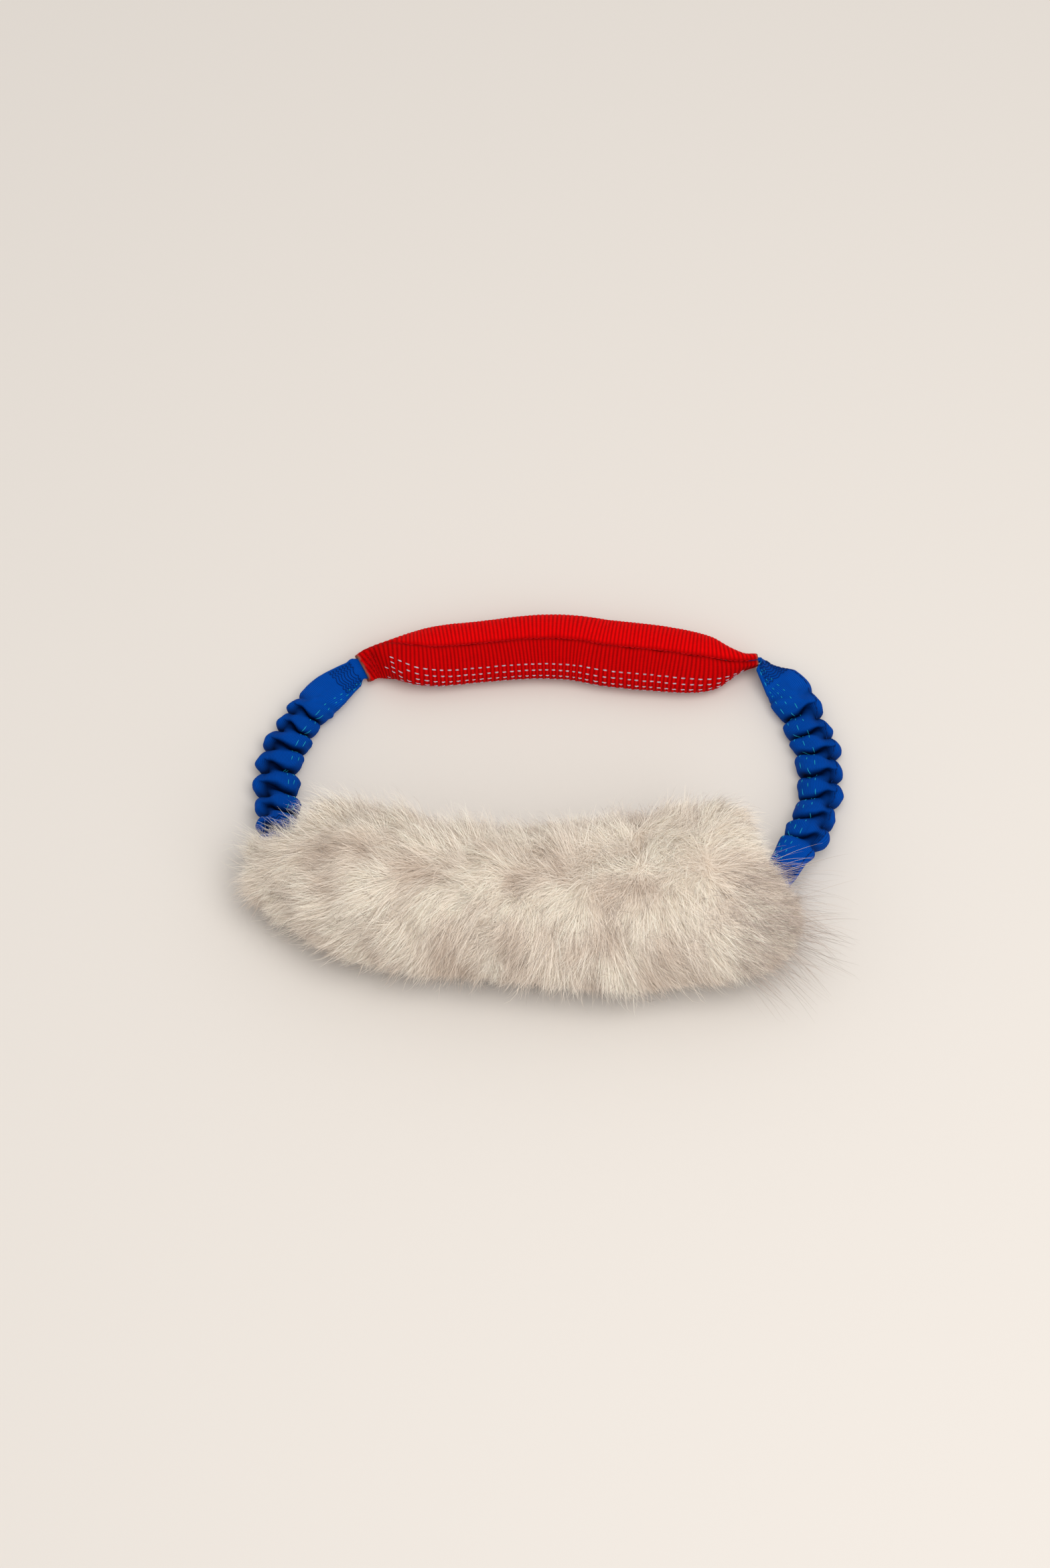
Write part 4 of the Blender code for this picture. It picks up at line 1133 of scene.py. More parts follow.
class SleeveAxis:
    """A sleeve's axis by distance from the handle's cut end, with the frames that its sections take."""

    def __init__(self, from_left):
        s = sizes()
        self.from_left = from_left
        self.side = -1 if from_left else 1
        mouth = handle_ends()[0 if from_left else 1]
        entry = bite_ends()[0 if from_left else 1]
        table = LEFT_SLEEVE_SHARES if from_left else RIGHT_SLEEVE_SHARES
        bow = LEFT_SLEEVE_BOW if from_left else RIGHT_SLEEVE_BOW
        level = np.array((1.0, 1.0, 0.0))
        chord = (entry - mouth) * level
        outward = unit(np.cross(UP, chord)) * self.side
        shares = np.linspace(0, 1, AXIS_SAMPLES + 1)
        aside, climb = follow(table, shares)
        self.points = mouth * level + chord * shares[:, None] + outward * (bow * aside)[:, None]
        low = mix(mouth[2], s.sleeve_half_height - FLAT_DEPTH, np.minimum(shares / SLEEVE_SETTLE_SHARE, 1))
        self.points[:, 2] = mix(low, entry[2], climb)
        steps = np.linalg.norm(np.diff(self.points, axis=0), axis=1)
        self.lengths = np.concatenate([[0], np.cumsum(steps)])
        self.length = self.lengths[-1]
        crests = np.array(LEFT_CREST_SHARES if from_left else RIGHT_CREST_SHARES)
        self.crests = crests[:, 0] * self.length
        self.swells = crests[:, 1]

    def point(self, distances):
        """Points on the axis."""
        return np.stack([np.interp(distances, self.lengths, self.points[:, k]) for k in range(3)], -1)

    def axis_frame(self, distances):
        """Centres, wide and thick directions outside the handle, with the lean of the gathers."""
        reach = 2 * self.length / AXIS_SAMPLES
        along = unit(self.point(distances + reach) - self.point(distances - reach))
        outward = unit(np.cross(UP, along)) * self.side
        upright = unit(np.cross(outward, along))
        upright = upright * np.sign(upright[..., 2:])
        (lean_share,) = follow(GATHER_LEAN_SHARES, distances / self.length)
        lean = (RIGHT_ANGLE * lean_share)[..., None]
        wide = outward * np.cos(lean) + along * np.sin(lean)
        if self.from_left:
            stub_roll = RIGHT_ANGLE * (1 - HANDLE_SECTION_SHARES[0][-1])
        else:
            stub_roll = -RIGHT_ANGLE * (1 + HANDLE_SECTION_SHARES[-1][-1])
        roll = (stub_roll * np.clip(1 - distances / TAB_REACH, 0, 1))[..., None]
        return (
            self.point(distances),
            wide * np.cos(roll) + upright * np.sin(roll),
            upright * np.cos(roll) - wide * np.sin(roll),
        )

    def frame(self, distances):
        """Centres, wide and thick directions. Below 0 the distance goes into the handle's sewn end."""
        share = -distances / sizes().handle_span
        centre, seamward, forward, *_ = handle_frame(share if self.from_left else 1 - share)
        turn = 1 if self.from_left else -1
        inside = centre, seamward * turn, forward * turn
        outside = self.axis_frame(np.maximum(distances, 0.0))
        share = smooth(TAB_LIP, TAB_BEND, distances)[..., None]
        centre, wide, tall = (mix(a, b, share) for a, b in zip(inside, outside))
        wide = unit(wide)
        tall = unit(tall - wide * np.sum(tall * wide, -1, keepdims=True))
        return centre, wide, tall

    def phase(self, distances):
        """The number of the gather at a distance, from 0 at the first, whole on each crest."""
        first, last = self.crests[1] - self.crests[0], self.crests[-1] - self.crests[-2]
        places = np.concatenate([[self.crests[0] - 3 * first], self.crests, [self.crests[-1] + 3 * last]])
        numbers = np.concatenate([[-3], np.arange(len(self.crests)), [len(self.crests) + 2]])
        return np.interp(distances, places, numbers)

    def envelope(self, distances):
        """Half width, half height and corner power of the sections, without the valleys between gathers."""
        s = sizes()
        thin = s.tab_half_thickness
        last = self.crests[-1] + (self.crests[-1] - self.crests[-2]) / 2
        first = self.crests[0] - (self.crests[1] - self.crests[0]) / 2
        opening = (TAB_OPENING + first) / 2
        rows = [
            (-TAB_INSERT, s.tab_mouth_half_width, thin, TAB_POWER),
            (TAB_LIP, s.tab_mouth_half_width, thin, TAB_POWER),
            (TAB_BEND, mix(s.tab_mouth_half_width, s.tab_half_width, 0.55), thin, TAB_POWER),
            (TAB_OPENING * 1.4, s.tab_half_width, thin * 1.1, TAB_POWER),
            (opening, (s.tab_half_width + s.sleeve_half_width) / 2, thin * 2.0, RUFFLE_POWER),
        ]
        rows += [
            (place, s.sleeve_half_width * swell, s.sleeve_half_height * swell, 1.0)
            for place, swell in zip(self.crests, self.swells)
        ]
        rows += [
            (mix(last, self.length, 0.35), s.tab_half_width * 1.05, thin * 2.2, RUFFLE_POWER),
            (mix(last, self.length, 0.7), s.tab_half_width, thin * 1.1, TAB_POWER),
            (self.length, STRAP_END_HALF_WIDTH, thin, TAB_POWER),
        ]
        rows = np.array(rows)
        return [np.interp(distances, rows[:, 0], rows[:, k]) for k in (1, 2, 3)]


def one_fold(off, above, below):
    """Depth of a fold at distances from its bottom, steeper on the side above it than below it."""
    return np.exp(-0.5 * np.abs(off / np.where(off < 0, above, below)) ** FOLD_POWER)


def rim_height(off, width):
    """Height of a rim at distances from its top."""
    return np.exp(-0.5 * (off / width) ** 2)


def creases(phase, across, seed):
    """Depth from 0 to 1 of the folds between gathers, and how far the rims above them roll over them."""
    rng = np.random.default_rng(seed)
    depth, lean = np.zeros_like(phase), np.zeros_like(phase)
    for k in range(-1, 7):
        wander = FOLD_WANDER * ripple((across * 2.2,), rng.integers(1e6))
        strength = rng.uniform(0.9, 1.08)
        if k >= 0:
            off = phase - (k + INNER_FOLD_PLACE - INNER_FOLD_SLANT * smooth(-0.55, 0.62, across) + wander)
            shown = smooth(0.92, 0.62, across)
            gentle = mix(GENTLE_SIDE, 0.30, smooth(-0.4, 0.5, across))
            deep = mix(1.0, 0.72, smooth(-0.3, 0.7, across))
            depth += one_fold(off, STEEP_SIDE, gentle) * shown * deep * strength
            above = rim_height(off + RIM_SETBACK, 0.085) * shown
            depth -= RIM_RISE * above
            lean += RIM_ROLL * above
        off = phase - (k + OUTER_FOLD_PLACE + OUTER_FOLD_SLANT * smooth(1.0, 0.1, across) - wander)
        shown = smooth(0.0, 0.85, across) * (FIRST_OUTER_FOLD_SHARE if k < 0 else 1.0)
        depth += one_fold(off, GENTLE_SIDE, STEEP_SIDE) * shown * OUTER_FOLD_DEPTH * strength
        lean -= 0.5 * RIM_ROLL * rim_height(off - OUTER_RIM_SETBACK, 0.08) * shown
    valleys = 0.5 - 0.5 * np.cos(2 * math.pi * (phase - 0.12 * across))
    depth += VALLEY_DEPTH * valleys * across**2
    gathered = smooth(-0.7, -0.2, phase) * smooth(6.85, 6.45, phase)
    return np.clip(depth, -0.1, 1.08) * gathered, lean * gathered


def wrinkles(phase, across, angles, upwards, seed):
    """Heights of the sleeve's fine, broad and crossing wrinkles."""
    fine, broad, crossing = WRINKLES
    shifted = phase * crossing[1] + UNDERSIDE_SHIFT * (upwards < 0)
    return (
        fine[0] * ripple((phase * fine[1], across * fine[2]), seed + 1)
        + broad[0] * ripple((phase * broad[1], across * broad[2]), seed + 3)
        + crossing[0] * ripple((shifted, angles * crossing[2]), seed + 2)
    )


def sleeve_skin(axis, seed):
    """The sleeve's rows from inside the handle to inside the fur, its skin and its folds' depths."""
    distances = np.arange(-TAB_INSERT, axis.length + ROW_STEP / 2, ROW_STEP)
    angles = ring_angles(SLEEVE_COLUMNS)
    across, upwards = np.cos(angles), np.sin(angles)
    phase = np.broadcast_to(axis.phase(distances)[:, None], (len(distances), SLEEVE_COLUMNS))
    depth, lean = creases(phase, np.broadcast_to(across, phase.shape), seed)
    shifted = distances[:, None] + lean * np.diff(axis.crests).mean()
    half_width, half_height, power = axis.envelope(shifted)
    centre, wide, tall = axis.frame(shifted)
    full = np.clip(phase + 1, 0, 1) * np.clip(7 - phase, 0, 1)
    wrinkle = wrinkles(phase, across, angles, upwards, seed) * full
    sunk = VALLEY_HEIGHT_SHARE * mix(1.0, UNDERSIDE_SHARE, smooth(0.2, -0.3, upwards)) * depth
    width = (half_width * (1 - VALLEY_WIDTH_SHARE * depth) + wrinkle) * cornered(across, power)
    height = (half_height * (1 - sunk) + wrinkle) * cornered(upwards, power)
    points = centre + wide * width[..., None] + tall * height[..., None]
    points[..., 2] = np.maximum(points[..., 2], 0.0)
    return distances, Skin(points, closed=True), depth


class Sleeve:
    """A sleeve's outer skin along its axis, split in the valleys nearest the handle and nearest the fur."""

    def __init__(self, from_left):
        self.name = "left" if from_left else "right"
        self.axis = axis = SleeveAxis(from_left)
        seed = LEFT_FOLD_SEED if from_left else RIGHT_FOLD_SEED
        self.distances, self.skin, self.depth = sleeve_skin(axis, seed)
        self.skin.turn_out(axis.frame(self.distances)[0])
        valleys = (axis.crests[1:] + axis.crests[:-1]) / 2
        self.upper = axis.crests[0] - (axis.crests[1] - axis.crests[0]) / 2
        self.lower = valleys[valleys < axis.length - LOWER_PART_LENGTH][-1]

    def spans(self):
        """First and last distance of each part outside the handle and the fur."""
        return {
            "upper": (0.0, self.upper),
            "middle": (self.upper, self.lower),
            "lower": (self.lower, self.axis.length - 0.001),
        }

    def over(self, distances, columns, lift):
        """Points at this height over the sleeve, and the normals there."""
        return self.skin.over((distances - self.distances[0]) / ROW_STEP, columns, lift)

    def stretch_span(self):
        """The places at the two ends of the middle of the sleeve, by their reach in +Y."""
        cuts = np.searchsorted(self.distances, (self.lower, self.upper))
        points = self.skin.points
        x = points[len(points) // 2, 0, 0]
        return (x, points[cuts[0], :, 1].max(), 0.0), (x, points[cuts[1], :, 1].min(), 0.0)

    def dress_part(self, item, part, slot, *nodes):
        """Hands a piece to bend with the bodies, start and end of the named part of the sleeve."""
        point, length = self.axis.point, self.axis.length
        bodies, start, end = {
            "upper": (("arms_upper", "handle"), point(TAB_TURN), point(TAB_TURN_START)),
            "middle": (("arms_lower", "arms_upper"), *self.stretch_span()),
            "lower": (("bite", "arms_lower"), point(length), point(length - TAB_TURN)),
        }[part]
        return bend(item, bodies, start, end, slot, *nodes)


def sleeve(from_left):
    """A gathered sleeve, in three parts."""
    piece = Sleeve(from_left)
    first, last = np.searchsorted(piece.distances, (piece.upper, piece.lower))
    cloth = found(fabric_finish, "blue_tubular_cloth", rgb("blue"), rgb("deep_blue"))
    spans = {"upper": (0, first + 1), "middle": (first, last + 1), "lower": (last, len(piece.distances))}
    for part, (start, end) in spans.items():
        cut = slice(start, end), slice(None, None, 1 if from_left else -1)
        # The fold depths set the painted shade in the folds and the painted highlight on their rims
        shades = {"fold": piece.depth[cut]}
        item = tube(f"{piece.name}_sleeve_{part}", piece.skin.points[cut], cloth, shades)
        soften(item, piece.skin.normals[cut])
        nodes = (f"{piece.name}_sleeve",) if part == "middle" else ()
        piece.dress_part(item, part, "blue_tubular_fabric", *nodes)


def sleeve_dashes(from_left):
    """Dashes of bright tracer yarn in rows along a sleeve."""
    piece = Sleeve(from_left)
    rng = np.random.default_rng(LEFT_DASH_SEED if from_left else RIGHT_DASH_SEED)
    yarn = found(thread_finish, "cyan_tracer_yarn", rgb("cyan"))
    for part, (first, last) in piece.spans().items():
        dashes = []
        for degrees in LEFT_DASH_ROWS if from_left else RIGHT_DASH_ROWS:
            column = degrees / 360 * SLEEVE_COLUMNS - 0.5
            place = max(first, DASH_START) + rng.uniform(0, DASH_PITCH)
            while place + DASH_LENGTH < last:
                run = place + np.linspace(0, DASH_LENGTH, DASH_POINTS)
                columns = np.full(DASH_POINTS, column + rng.normal(0, 0.25))
                dashes.append(piece.over(run, columns, DASH_LIFT))
                place += DASH_PITCH * rng.uniform(0.92, 1.08)
        item = threads(f"{piece.name}_dashes_{part}", *zip(*dashes), DASH_YARN, yarn)
        piece.dress_part(item, part, "blue_tubular_fabric")


def blue_thread():
    return found(thread_finish, "dark_blue_stitches", rgb("deep_blue"))


def tab_stitches(from_left, part):
    """Rows of zigzag across a sleeve's tab."""
    piece = Sleeve(from_left)
    columns = np.linspace(*TACK_SPAN, TACK_POINTS) * SLEEVE_COLUMNS - 0.5
    pitch = UPPER_TACK_PITCH if part == "upper" else LOWER_TACK_PITCH
    places = TACK_START + pitch * np.arange(TACK_ROWS)[:, None]
    if part == "lower":
        places = piece.axis.length - places
    run = places + TACK_ZIGZAG * zigzag(TACK_POINTS)
    paths, faces = piece.over(run, columns, TACK_LIFT)
    name = f"{piece.name}_{part}_tab"
    item = threads(f"{name}_tacks", paths, faces, TACK_THREAD, blue_thread())
    piece.dress_part(item, part, "dark_blue_thread", f"{name}_stitching")


def side_seam():
    """The right sleeve's stitched side seam, near its outer edge and down its lower tab."""
    piece = Sleeve(False)
    column = SIDE_SEAM_ANGLE / 360 * SLEEVE_COLUMNS - 0.5
    before, after = SIDE_SEAM_SETBACKS
    for part, (first, last) in piece.spans().items():
        starts = np.arange(max(first, SIDE_SEAM_START) + before, last - after, SIDE_SEAM_PITCH)
        run = starts[:, None] + np.linspace(0, SIDE_SEAM_STITCH, DASH_POINTS)
        paths, faces = piece.over(run, np.full(run.shape, column), SIDE_SEAM_LIFT)
        item = threads(f"right_side_seam_{part}", paths, faces, SIDE_SEAM_THREAD, blue_thread())
        piece.dress_part(item, part, "dark_blue_thread")


def cord(from_left):
    """The braided elastic that gathers a sleeve."""
    piece = Sleeve(from_left)
    thick = sizes().cord_radius * CORD_DRAWN_SHARE
    run = np.linspace(CORD_SETBACK, piece.axis.length - CORD_SETBACK, CORD_ROWS)
    centre, wide, tall = piece.axis.frame(run)
    room = piece.axis.envelope(run)[1] - thick - 2 * CLEARANCE
    centre = centre - tall * (CORD_SINK_SHARE * np.maximum(room, 0.0))[:, None]
    angles = ring_angles(CORD_COLUMNS)
    around, turns = BRAID_STRANDS * angles, 2 * math.pi * run[:, None] / BRAID_PITCH
    radius = thick * (1 + BRAID_RELIEF * np.sin(around + turns) * np.sin(around - turns))
    outward = wide[:, None] * np.cos(angles)[:, None] + tall[:, None] * np.sin(angles)[:, None]
    braid = found(soft_finish, "white_braid", rgb("elastic"), 1500.0, 0.5)
    item = tube(f"{piece.name}_cord", centre[:, None] + outward * radius[..., None], braid)
    piece.dress_part(item, "middle", "white_elastic", f"{piece.name}_bungee_cord")


# The bite tube


def bite_ends():
    """The places where the left and the right sleeve enter the fur."""
    left = joint_place("loop_fold")
    s = sizes()
    return left, left + np.array((s.bite_span, -s.bite_skew, s.bite_climb))


def bite_frame(shares):
    """Centres, wide directions, half widths and half heights of the fur at shares of the bite tube."""
    s = sizes()
    shares = np.asarray(shares, float)
    bow, width_share, height_share, turn_share = follow(BITE_SHARES, shares)
    left, right = bite_ends()
    chord = right - left
    towards_user = unit(np.cross(chord, UP))
    along = unit(chord * np.array((1.0, 1.0, 0.0)))
    turn = (RIGHT_ANGLE * turn_share)[..., None]
    wide = along * np.sin(turn) - towards_user * np.cos(turn)
    centre = left + chord * shares[..., None] + towards_user * (s.bite_bow * bow)[..., None]
    rise = np.minimum(np.minimum(shares / BITE_RISE_SHARE, (1 - shares) / BITE_FALL_SHARE), 1.0)
    centre[..., 2] = mix(mix(left[2], right[2], shares), s.fur_half_height - FLAT_DEPTH, rise)
    return centre, wide, s.fur_half_width * width_share, s.fur_half_height * height_share


def oval(centre, wide, half_width, half_height, power, columns):
    """Rings of points round the centres, level side below: ellipses, or boxes at a power well under 1."""
    angles = ring_angles(columns)
    power = np.broadcast_to(power, half_width.shape)[:, None]
    across, upwards = cornered(np.cos(angles), power), cornered(np.sin(angles), power)
    return (
        centre[:, None]
        + wide[:, None] * (half_width[:, None] * across)[..., None]
        + UP * (half_height[:, None] * upwards)[..., None]
    )


def core_rings(end_size, full_size, power, first, last, count=PADDING_ROWS):
    """Sections of a piece inside the fur, which widens from its end size to its full size."""
    shares = np.linspace(first, last, count)
    (full,) = follow(CORE_FULL_SHARES, shares)
    centre, wide, _, _ = bite_frame(shares)
    width, height = (mix(small, large, full) for small, large in zip(end_size, full_size))
    return oval(centre, wide, width, height, mix(STRAP_POWER, power, full), CORE_COLUMNS)


def hollow(name, outer, bore, material):
    """A closed tube with an open way through it."""
    rings = np.concatenate([outer, bore[::-1]])
    return new_mesh(name, rings.reshape(-1, 3), side_quads(*rings.shape[:2], closed=True), material)


def bite_core():
    """The strap that carries the pull, and the padding round it with a slot for it."""
    thin = STRAP_THICKNESS / 2
    ends = (BITE_SHARES[0][0], BITE_SHARES[-1][0])
    small, strap = (STRAP_END_HALF_WIDTH, thin), (STRAP_HALF_WIDTH, thin)
    rings = core_rings(small, strap, STRAP_POWER, *ends, STRAP_ROWS)
    item = tube("pull_strap", rings, found(soft_finish, "black_webbing_cloth", rgb("strap"), 1200.0, 0.6))
    dress(item, "bite", "black_webbing", "core_strap")
    reach = (PADDING_START_SHARE, PADDING_END_SHARE)
    outer = core_rings(small, (PADDING_HALF_WIDTH, PADDING_HALF_HEIGHT), PADDING_POWER, *reach)
    slot = [[measure + CLEARANCE for measure in size] for size in (small, strap)]
    bore = core_rings(*slot, STRAP_POWER, *reach)
    item = hollow("batting", outer, bore, found(soft_finish, "white_batting_wool", rgb("wool"), 500.0, 0.9))
    dress(item, "bite", "white_batting", "bite_padding")


def between_locks(points):
    """How deep each place lies between the fur's larger locks, from 0 to 1."""
    place = (points - joint_place("loop_fold")) / sizes().lock_spacing
    waves = [np.sin(2 * math.pi * (place @ np.array(turns[:3]) + turns[3])) for turns in FUR_LOCK_WAVES]
    return np.clip(0.5 + sum(waves) / len(waves), 0, 1)


def hollows(points, centre, shares, half_height):
    """How far in the hollows between the fur's locks go, as shares of the way to the tube's middle."""
    depth = between_locks(points)
    ends = np.minimum(np.minimum(shares, 1 - shares) / FUR_SMOOTH_SHARE, 1.0)[:, None]
    above = np.clip(2 * (points[..., 2] - centre[:, None, 2]) / half_height[:, None] + 1, 0, 1)
    return (FUR_HOLLOW_SHARE * depth * ends * above)[..., None]


class Pelt:
    """The hide that the hairs stand on, with the space that they fill over it."""

    def __init__(self):
        self.shares = np.linspace(HIDE_START_SHARE, HIDE_END_SHARE, HIDE_ROWS)
        centre, wide, half_width, half_height = bite_frame(self.shares)
        tangent = unit(np.gradient(centre, axis=0) * np.array((1.0, 1.0, 0.3)))
        self.tangents, self.wide = (
            np.broadcast_to(vectors[:, None], (HIDE_ROWS, HIDE_COLUMNS, 3)) for vectors in (tangent, wide)
        )
        full = oval(centre, wide, half_width, half_height, 1.0, HIDE_COLUMNS)
        full = mix(full, centre[:, None], hollows(full, centre, self.shares, half_height))
        inner = mix(centre[:, None], full, HIDE_SHARE)
        full[..., 2] = np.maximum(full[..., 2], 0.0)
        inner[..., 2] = np.maximum(inner[..., 2], HIDE_LOWEST)
        self.hide = Skin(inner, closed=True)
        self.hide.turn_out(centre)
        self.room = np.linalg.norm(full - inner, axis=-1, keepdims=True)
        down, around = np.gradient(inner, axis=0), steps_around(inner)
        self.row_vectors = down / np.sum(down**2, -1, keepdims=True)
        self.column_vectors = around / np.sum(around**2, -1, keepdims=True)
        self.areas = np.linalg.norm(np.cross(down, around), axis=-1)

    def angles(self, columns):
        """Angles round the tube, from its back over its top."""
        return 2 * math.pi * (columns + 0.5) / HIDE_COLUMNS

    def read(self, grid, rows, columns):
        """The grid's values at places on the hide."""
        return self.hide.read(grid, rows, columns)

    def scatter(self, count, rng):
        """Rows and columns of random places, evenly spread, with fewer underneath."""
        under = np.sin(self.angles(np.arange(HIDE_COLUMNS)))
        weight = self.areas * mix(UNDERSIDE_HAIR_SHARE, 1.0, smooth(-0.75, -0.2, under))[None]
        chosen = rng.choice(weight.size, count, p=weight.ravel() / weight.sum())
        rows, columns = np.divmod(chosen, HIDE_COLUMNS)
        return rows + rng.uniform(-0.5, 0.5, count), columns + rng.uniform(-0.5, 0.5, count)

    def onward(self, rows, columns, steps):
        """The places that lie these steps further over the hide."""
        down = np.sum(self.read(self.row_vectors, rows, columns) * steps, -1)
        around = np.sum(self.read(self.column_vectors, rows, columns) * steps, -1)
        around = np.clip(around, -FURTHEST_COLUMNS, FURTHEST_COLUMNS)
        return np.clip(rows + down, 0, HIDE_ROWS - 1), columns + around


def along_hair(steps):
    """Shares of a hair's length from its root to its tip."""
    return np.linspace(0, 1, steps)[None, :, None]


class Comb:
    """Roots, directions and lengths of hairs at places on the hide."""

    def __init__(self, pelt, rows, columns):
        self.pelt, self.rows, self.columns = pelt, rows, columns
        self.root = pelt.read(pelt.hide.points, rows, columns)
        self.normal = unit(pelt.read(pelt.hide.normals, rows, columns))
        self.room = pelt.read(pelt.room, rows, columns)[..., 0]
        share = np.interp(rows, np.arange(HIDE_ROWS), pelt.shares)
        angle = pelt.angles(columns)
        axial, sideways, self.long, self.hold = follow(COMB_SHARES, share)
        self.side = np.cos(angle)
        parted = np.clip((self.side - PARTING) / 0.7, -1, 1)
        wide = pelt.read(pelt.wide, rows, columns)
        drop = np.abs(self.side) * np.abs(parted)
        away = wide * (parted * np.maximum(np.sin(angle), 0))[..., None] - UP * drop[..., None]
        flow = pelt.read(pelt.tangents, rows, columns) * axial[..., None] + away * sideways[..., None]
        self.loose = np.clip(1 - np.linalg.norm(flow, axis=-1, keepdims=True), 0, 1)
        places = [self.root[..., k] * SWIRL_TURNS for k in range(3)]
        swirl = np.stack([ripple(places, SWIRL_SEED + k) for k in range(3)], -1)
        self.flow = self.level(flow + (0.25 + 0.9 * self.loose) * swirl)

    def level(self, flow):
        """The directions, laid flat on the hide."""
        return unit(flow - self.normal * np.sum(flow * self.normal, -1, keepdims=True))

    def lay(self, flow, rise, reach, steps):
        """Points along hairs that rise from their roots and lie over along the hide's curve."""
        t = along_hair(steps)
        onward = self.pelt.onward(self.rows, self.columns, flow * reach[:, None])
        far = unit(self.pelt.read(self.pelt.hide.normals, *onward))
        held = self.hold[:, None]
        bent = unit(flow - far * np.sum(flow * far, -1, keepdims=True) * held)
        outward = self.normal[:, None] * (1 - t * held[:, None]) + far[:, None] * t * held[:, None]
        run = flow[:, None] * (t - t**2 / 2) + bent[:, None] * t**2 / 2
        lifted = outward * (rise[:, None, None] * (1 - (1 - t) ** 2))
        return self.root[:, None] + run * reach[:, None, None] + lifted


def fur_hide():
    pelt = Pelt()
    cloth = found(soft_finish, "fur_backing", rgb("hide"), 300.0, 0.5, 0.85)
    item = tube("fur_hide", pelt.hide.points, cloth)
    dress(item, "bite", "cream_fur", "fur_cover")


def nearest(points, centres):
    """The number of the centre nearest to each point."""
    tree = kdtree.KDTree(len(centres))
    for number, centre in enumerate(centres):
        tree.insert(centre, number)
    tree.balance()
    return np.array([tree.find(point)[1] for point in points])


class Locks:
    """The locks and wisps that hairs gather into, shared by the coat and the underfur."""

    def __init__(self, pelt):
        rng = np.random.default_rng(LOCK_SEED)
        comb = Comb(pelt, *pelt.scatter(LOCKS, rng))
        self.root = comb.root
        self.flow = comb.level(comb.flow + LOCK_TURN * rng.normal(0, 1, comb.flow.shape))
        self.long = rng.uniform(*LOCK_LENGTHS, LOCKS)
        self.lift = rng.uniform(*LOCK_LIFTS, LOCKS)
        self.tone = rng.uniform(0, 1, LOCKS)
        rows, columns = pelt.scatter(WISPS, rng)
        self.wisp_root = pelt.read(pelt.hide.points, rows, columns)
        self.owner = nearest(self.wisp_root, self.root)
        self.stray = rng.normal(0, WISP_STRAY, (WISPS, 3))
        self.wisp_tone = rng.uniform(0, 1, WISPS)


def settled(paths, rng):
    """The paths, kept over the floor and within the fur's reach, each at a small distance of its own."""
    rest = HAIR_REST + HAIR_REST_SPREAD * rng.uniform(0, 1, (len(paths), 1))
    paths[..., 2] = np.clip(paths[..., 2], rest, HIGHEST - rest)
    paths[..., 1] = np.maximum(paths[..., 1], LOWEST_FRONT + rest)
    return paths


def hairs(pelt, locks, count, steps, long, rise, gather, rng):
    """Paths, normals and tones of hairs, and how near the edge of the fur they stand."""
    comb = Comb(pelt, *pelt.scatter(count, rng))
    wisp = nearest(comb.root, locks.wisp_root)
    lock = locks.owner[wisp]
    stray = (0.15 + 0.4 * comb.loose) * rng.normal(0, 1, (count, 3))
    flow = comb.level(mix(comb.flow, locks.flow[lock], LOCK_FLOW_SHARE) + stray)
    hair = sizes().hair_length * comb.long * locks.long[lock] * rng.uniform(*long, count)
    up = np.minimum(comb.room * locks.lift[lock] * rng.uniform(*rise, count), hair * LARGEST_RISE_SHARE)
    standing = rng.uniform(0, 1, count) < STANDING_SHARE * (1 + 2.0 * smooth(0.1, 0.8, comb.side))
    up = np.where(standing & (long[1] > 1), hair * rng.uniform(*STANDING_LIFTS, count), up)
    paths = comb.lay(flow, up, np.sqrt(hair**2 - up**2), steps)
    t = along_hair(steps)
    paths = paths + (locks.wisp_root[wisp] - comb.root)[:, None] * gather * t
    paths = paths + locks.stray[wisp][:, None] * t**1.5 + rng.normal(0, TIP_STRAY, (count, 1, 3)) * t**2
    curl = np.cross(flow, comb.normal)[:, None] * np.sin(t * rng.uniform(*CURL_TURNS, (count, 1, 1)))
    paths = settled(paths + curl * rng.normal(0, CURL_HEIGHT, (count, 1, 1)) * t, rng)
    tone = 0.4 * locks.tone[lock] + 0.3 * locks.wisp_tone[wisp] + 0.3 * rng.uniform(0, 1, count)
    edge = smooth(0.45, 0.9, np.abs(comb.side)) + smooth(0.25, 1.0, 1 - comb.hold)
    return paths, comb.normal, tone, np.clip(edge, 0, 1)


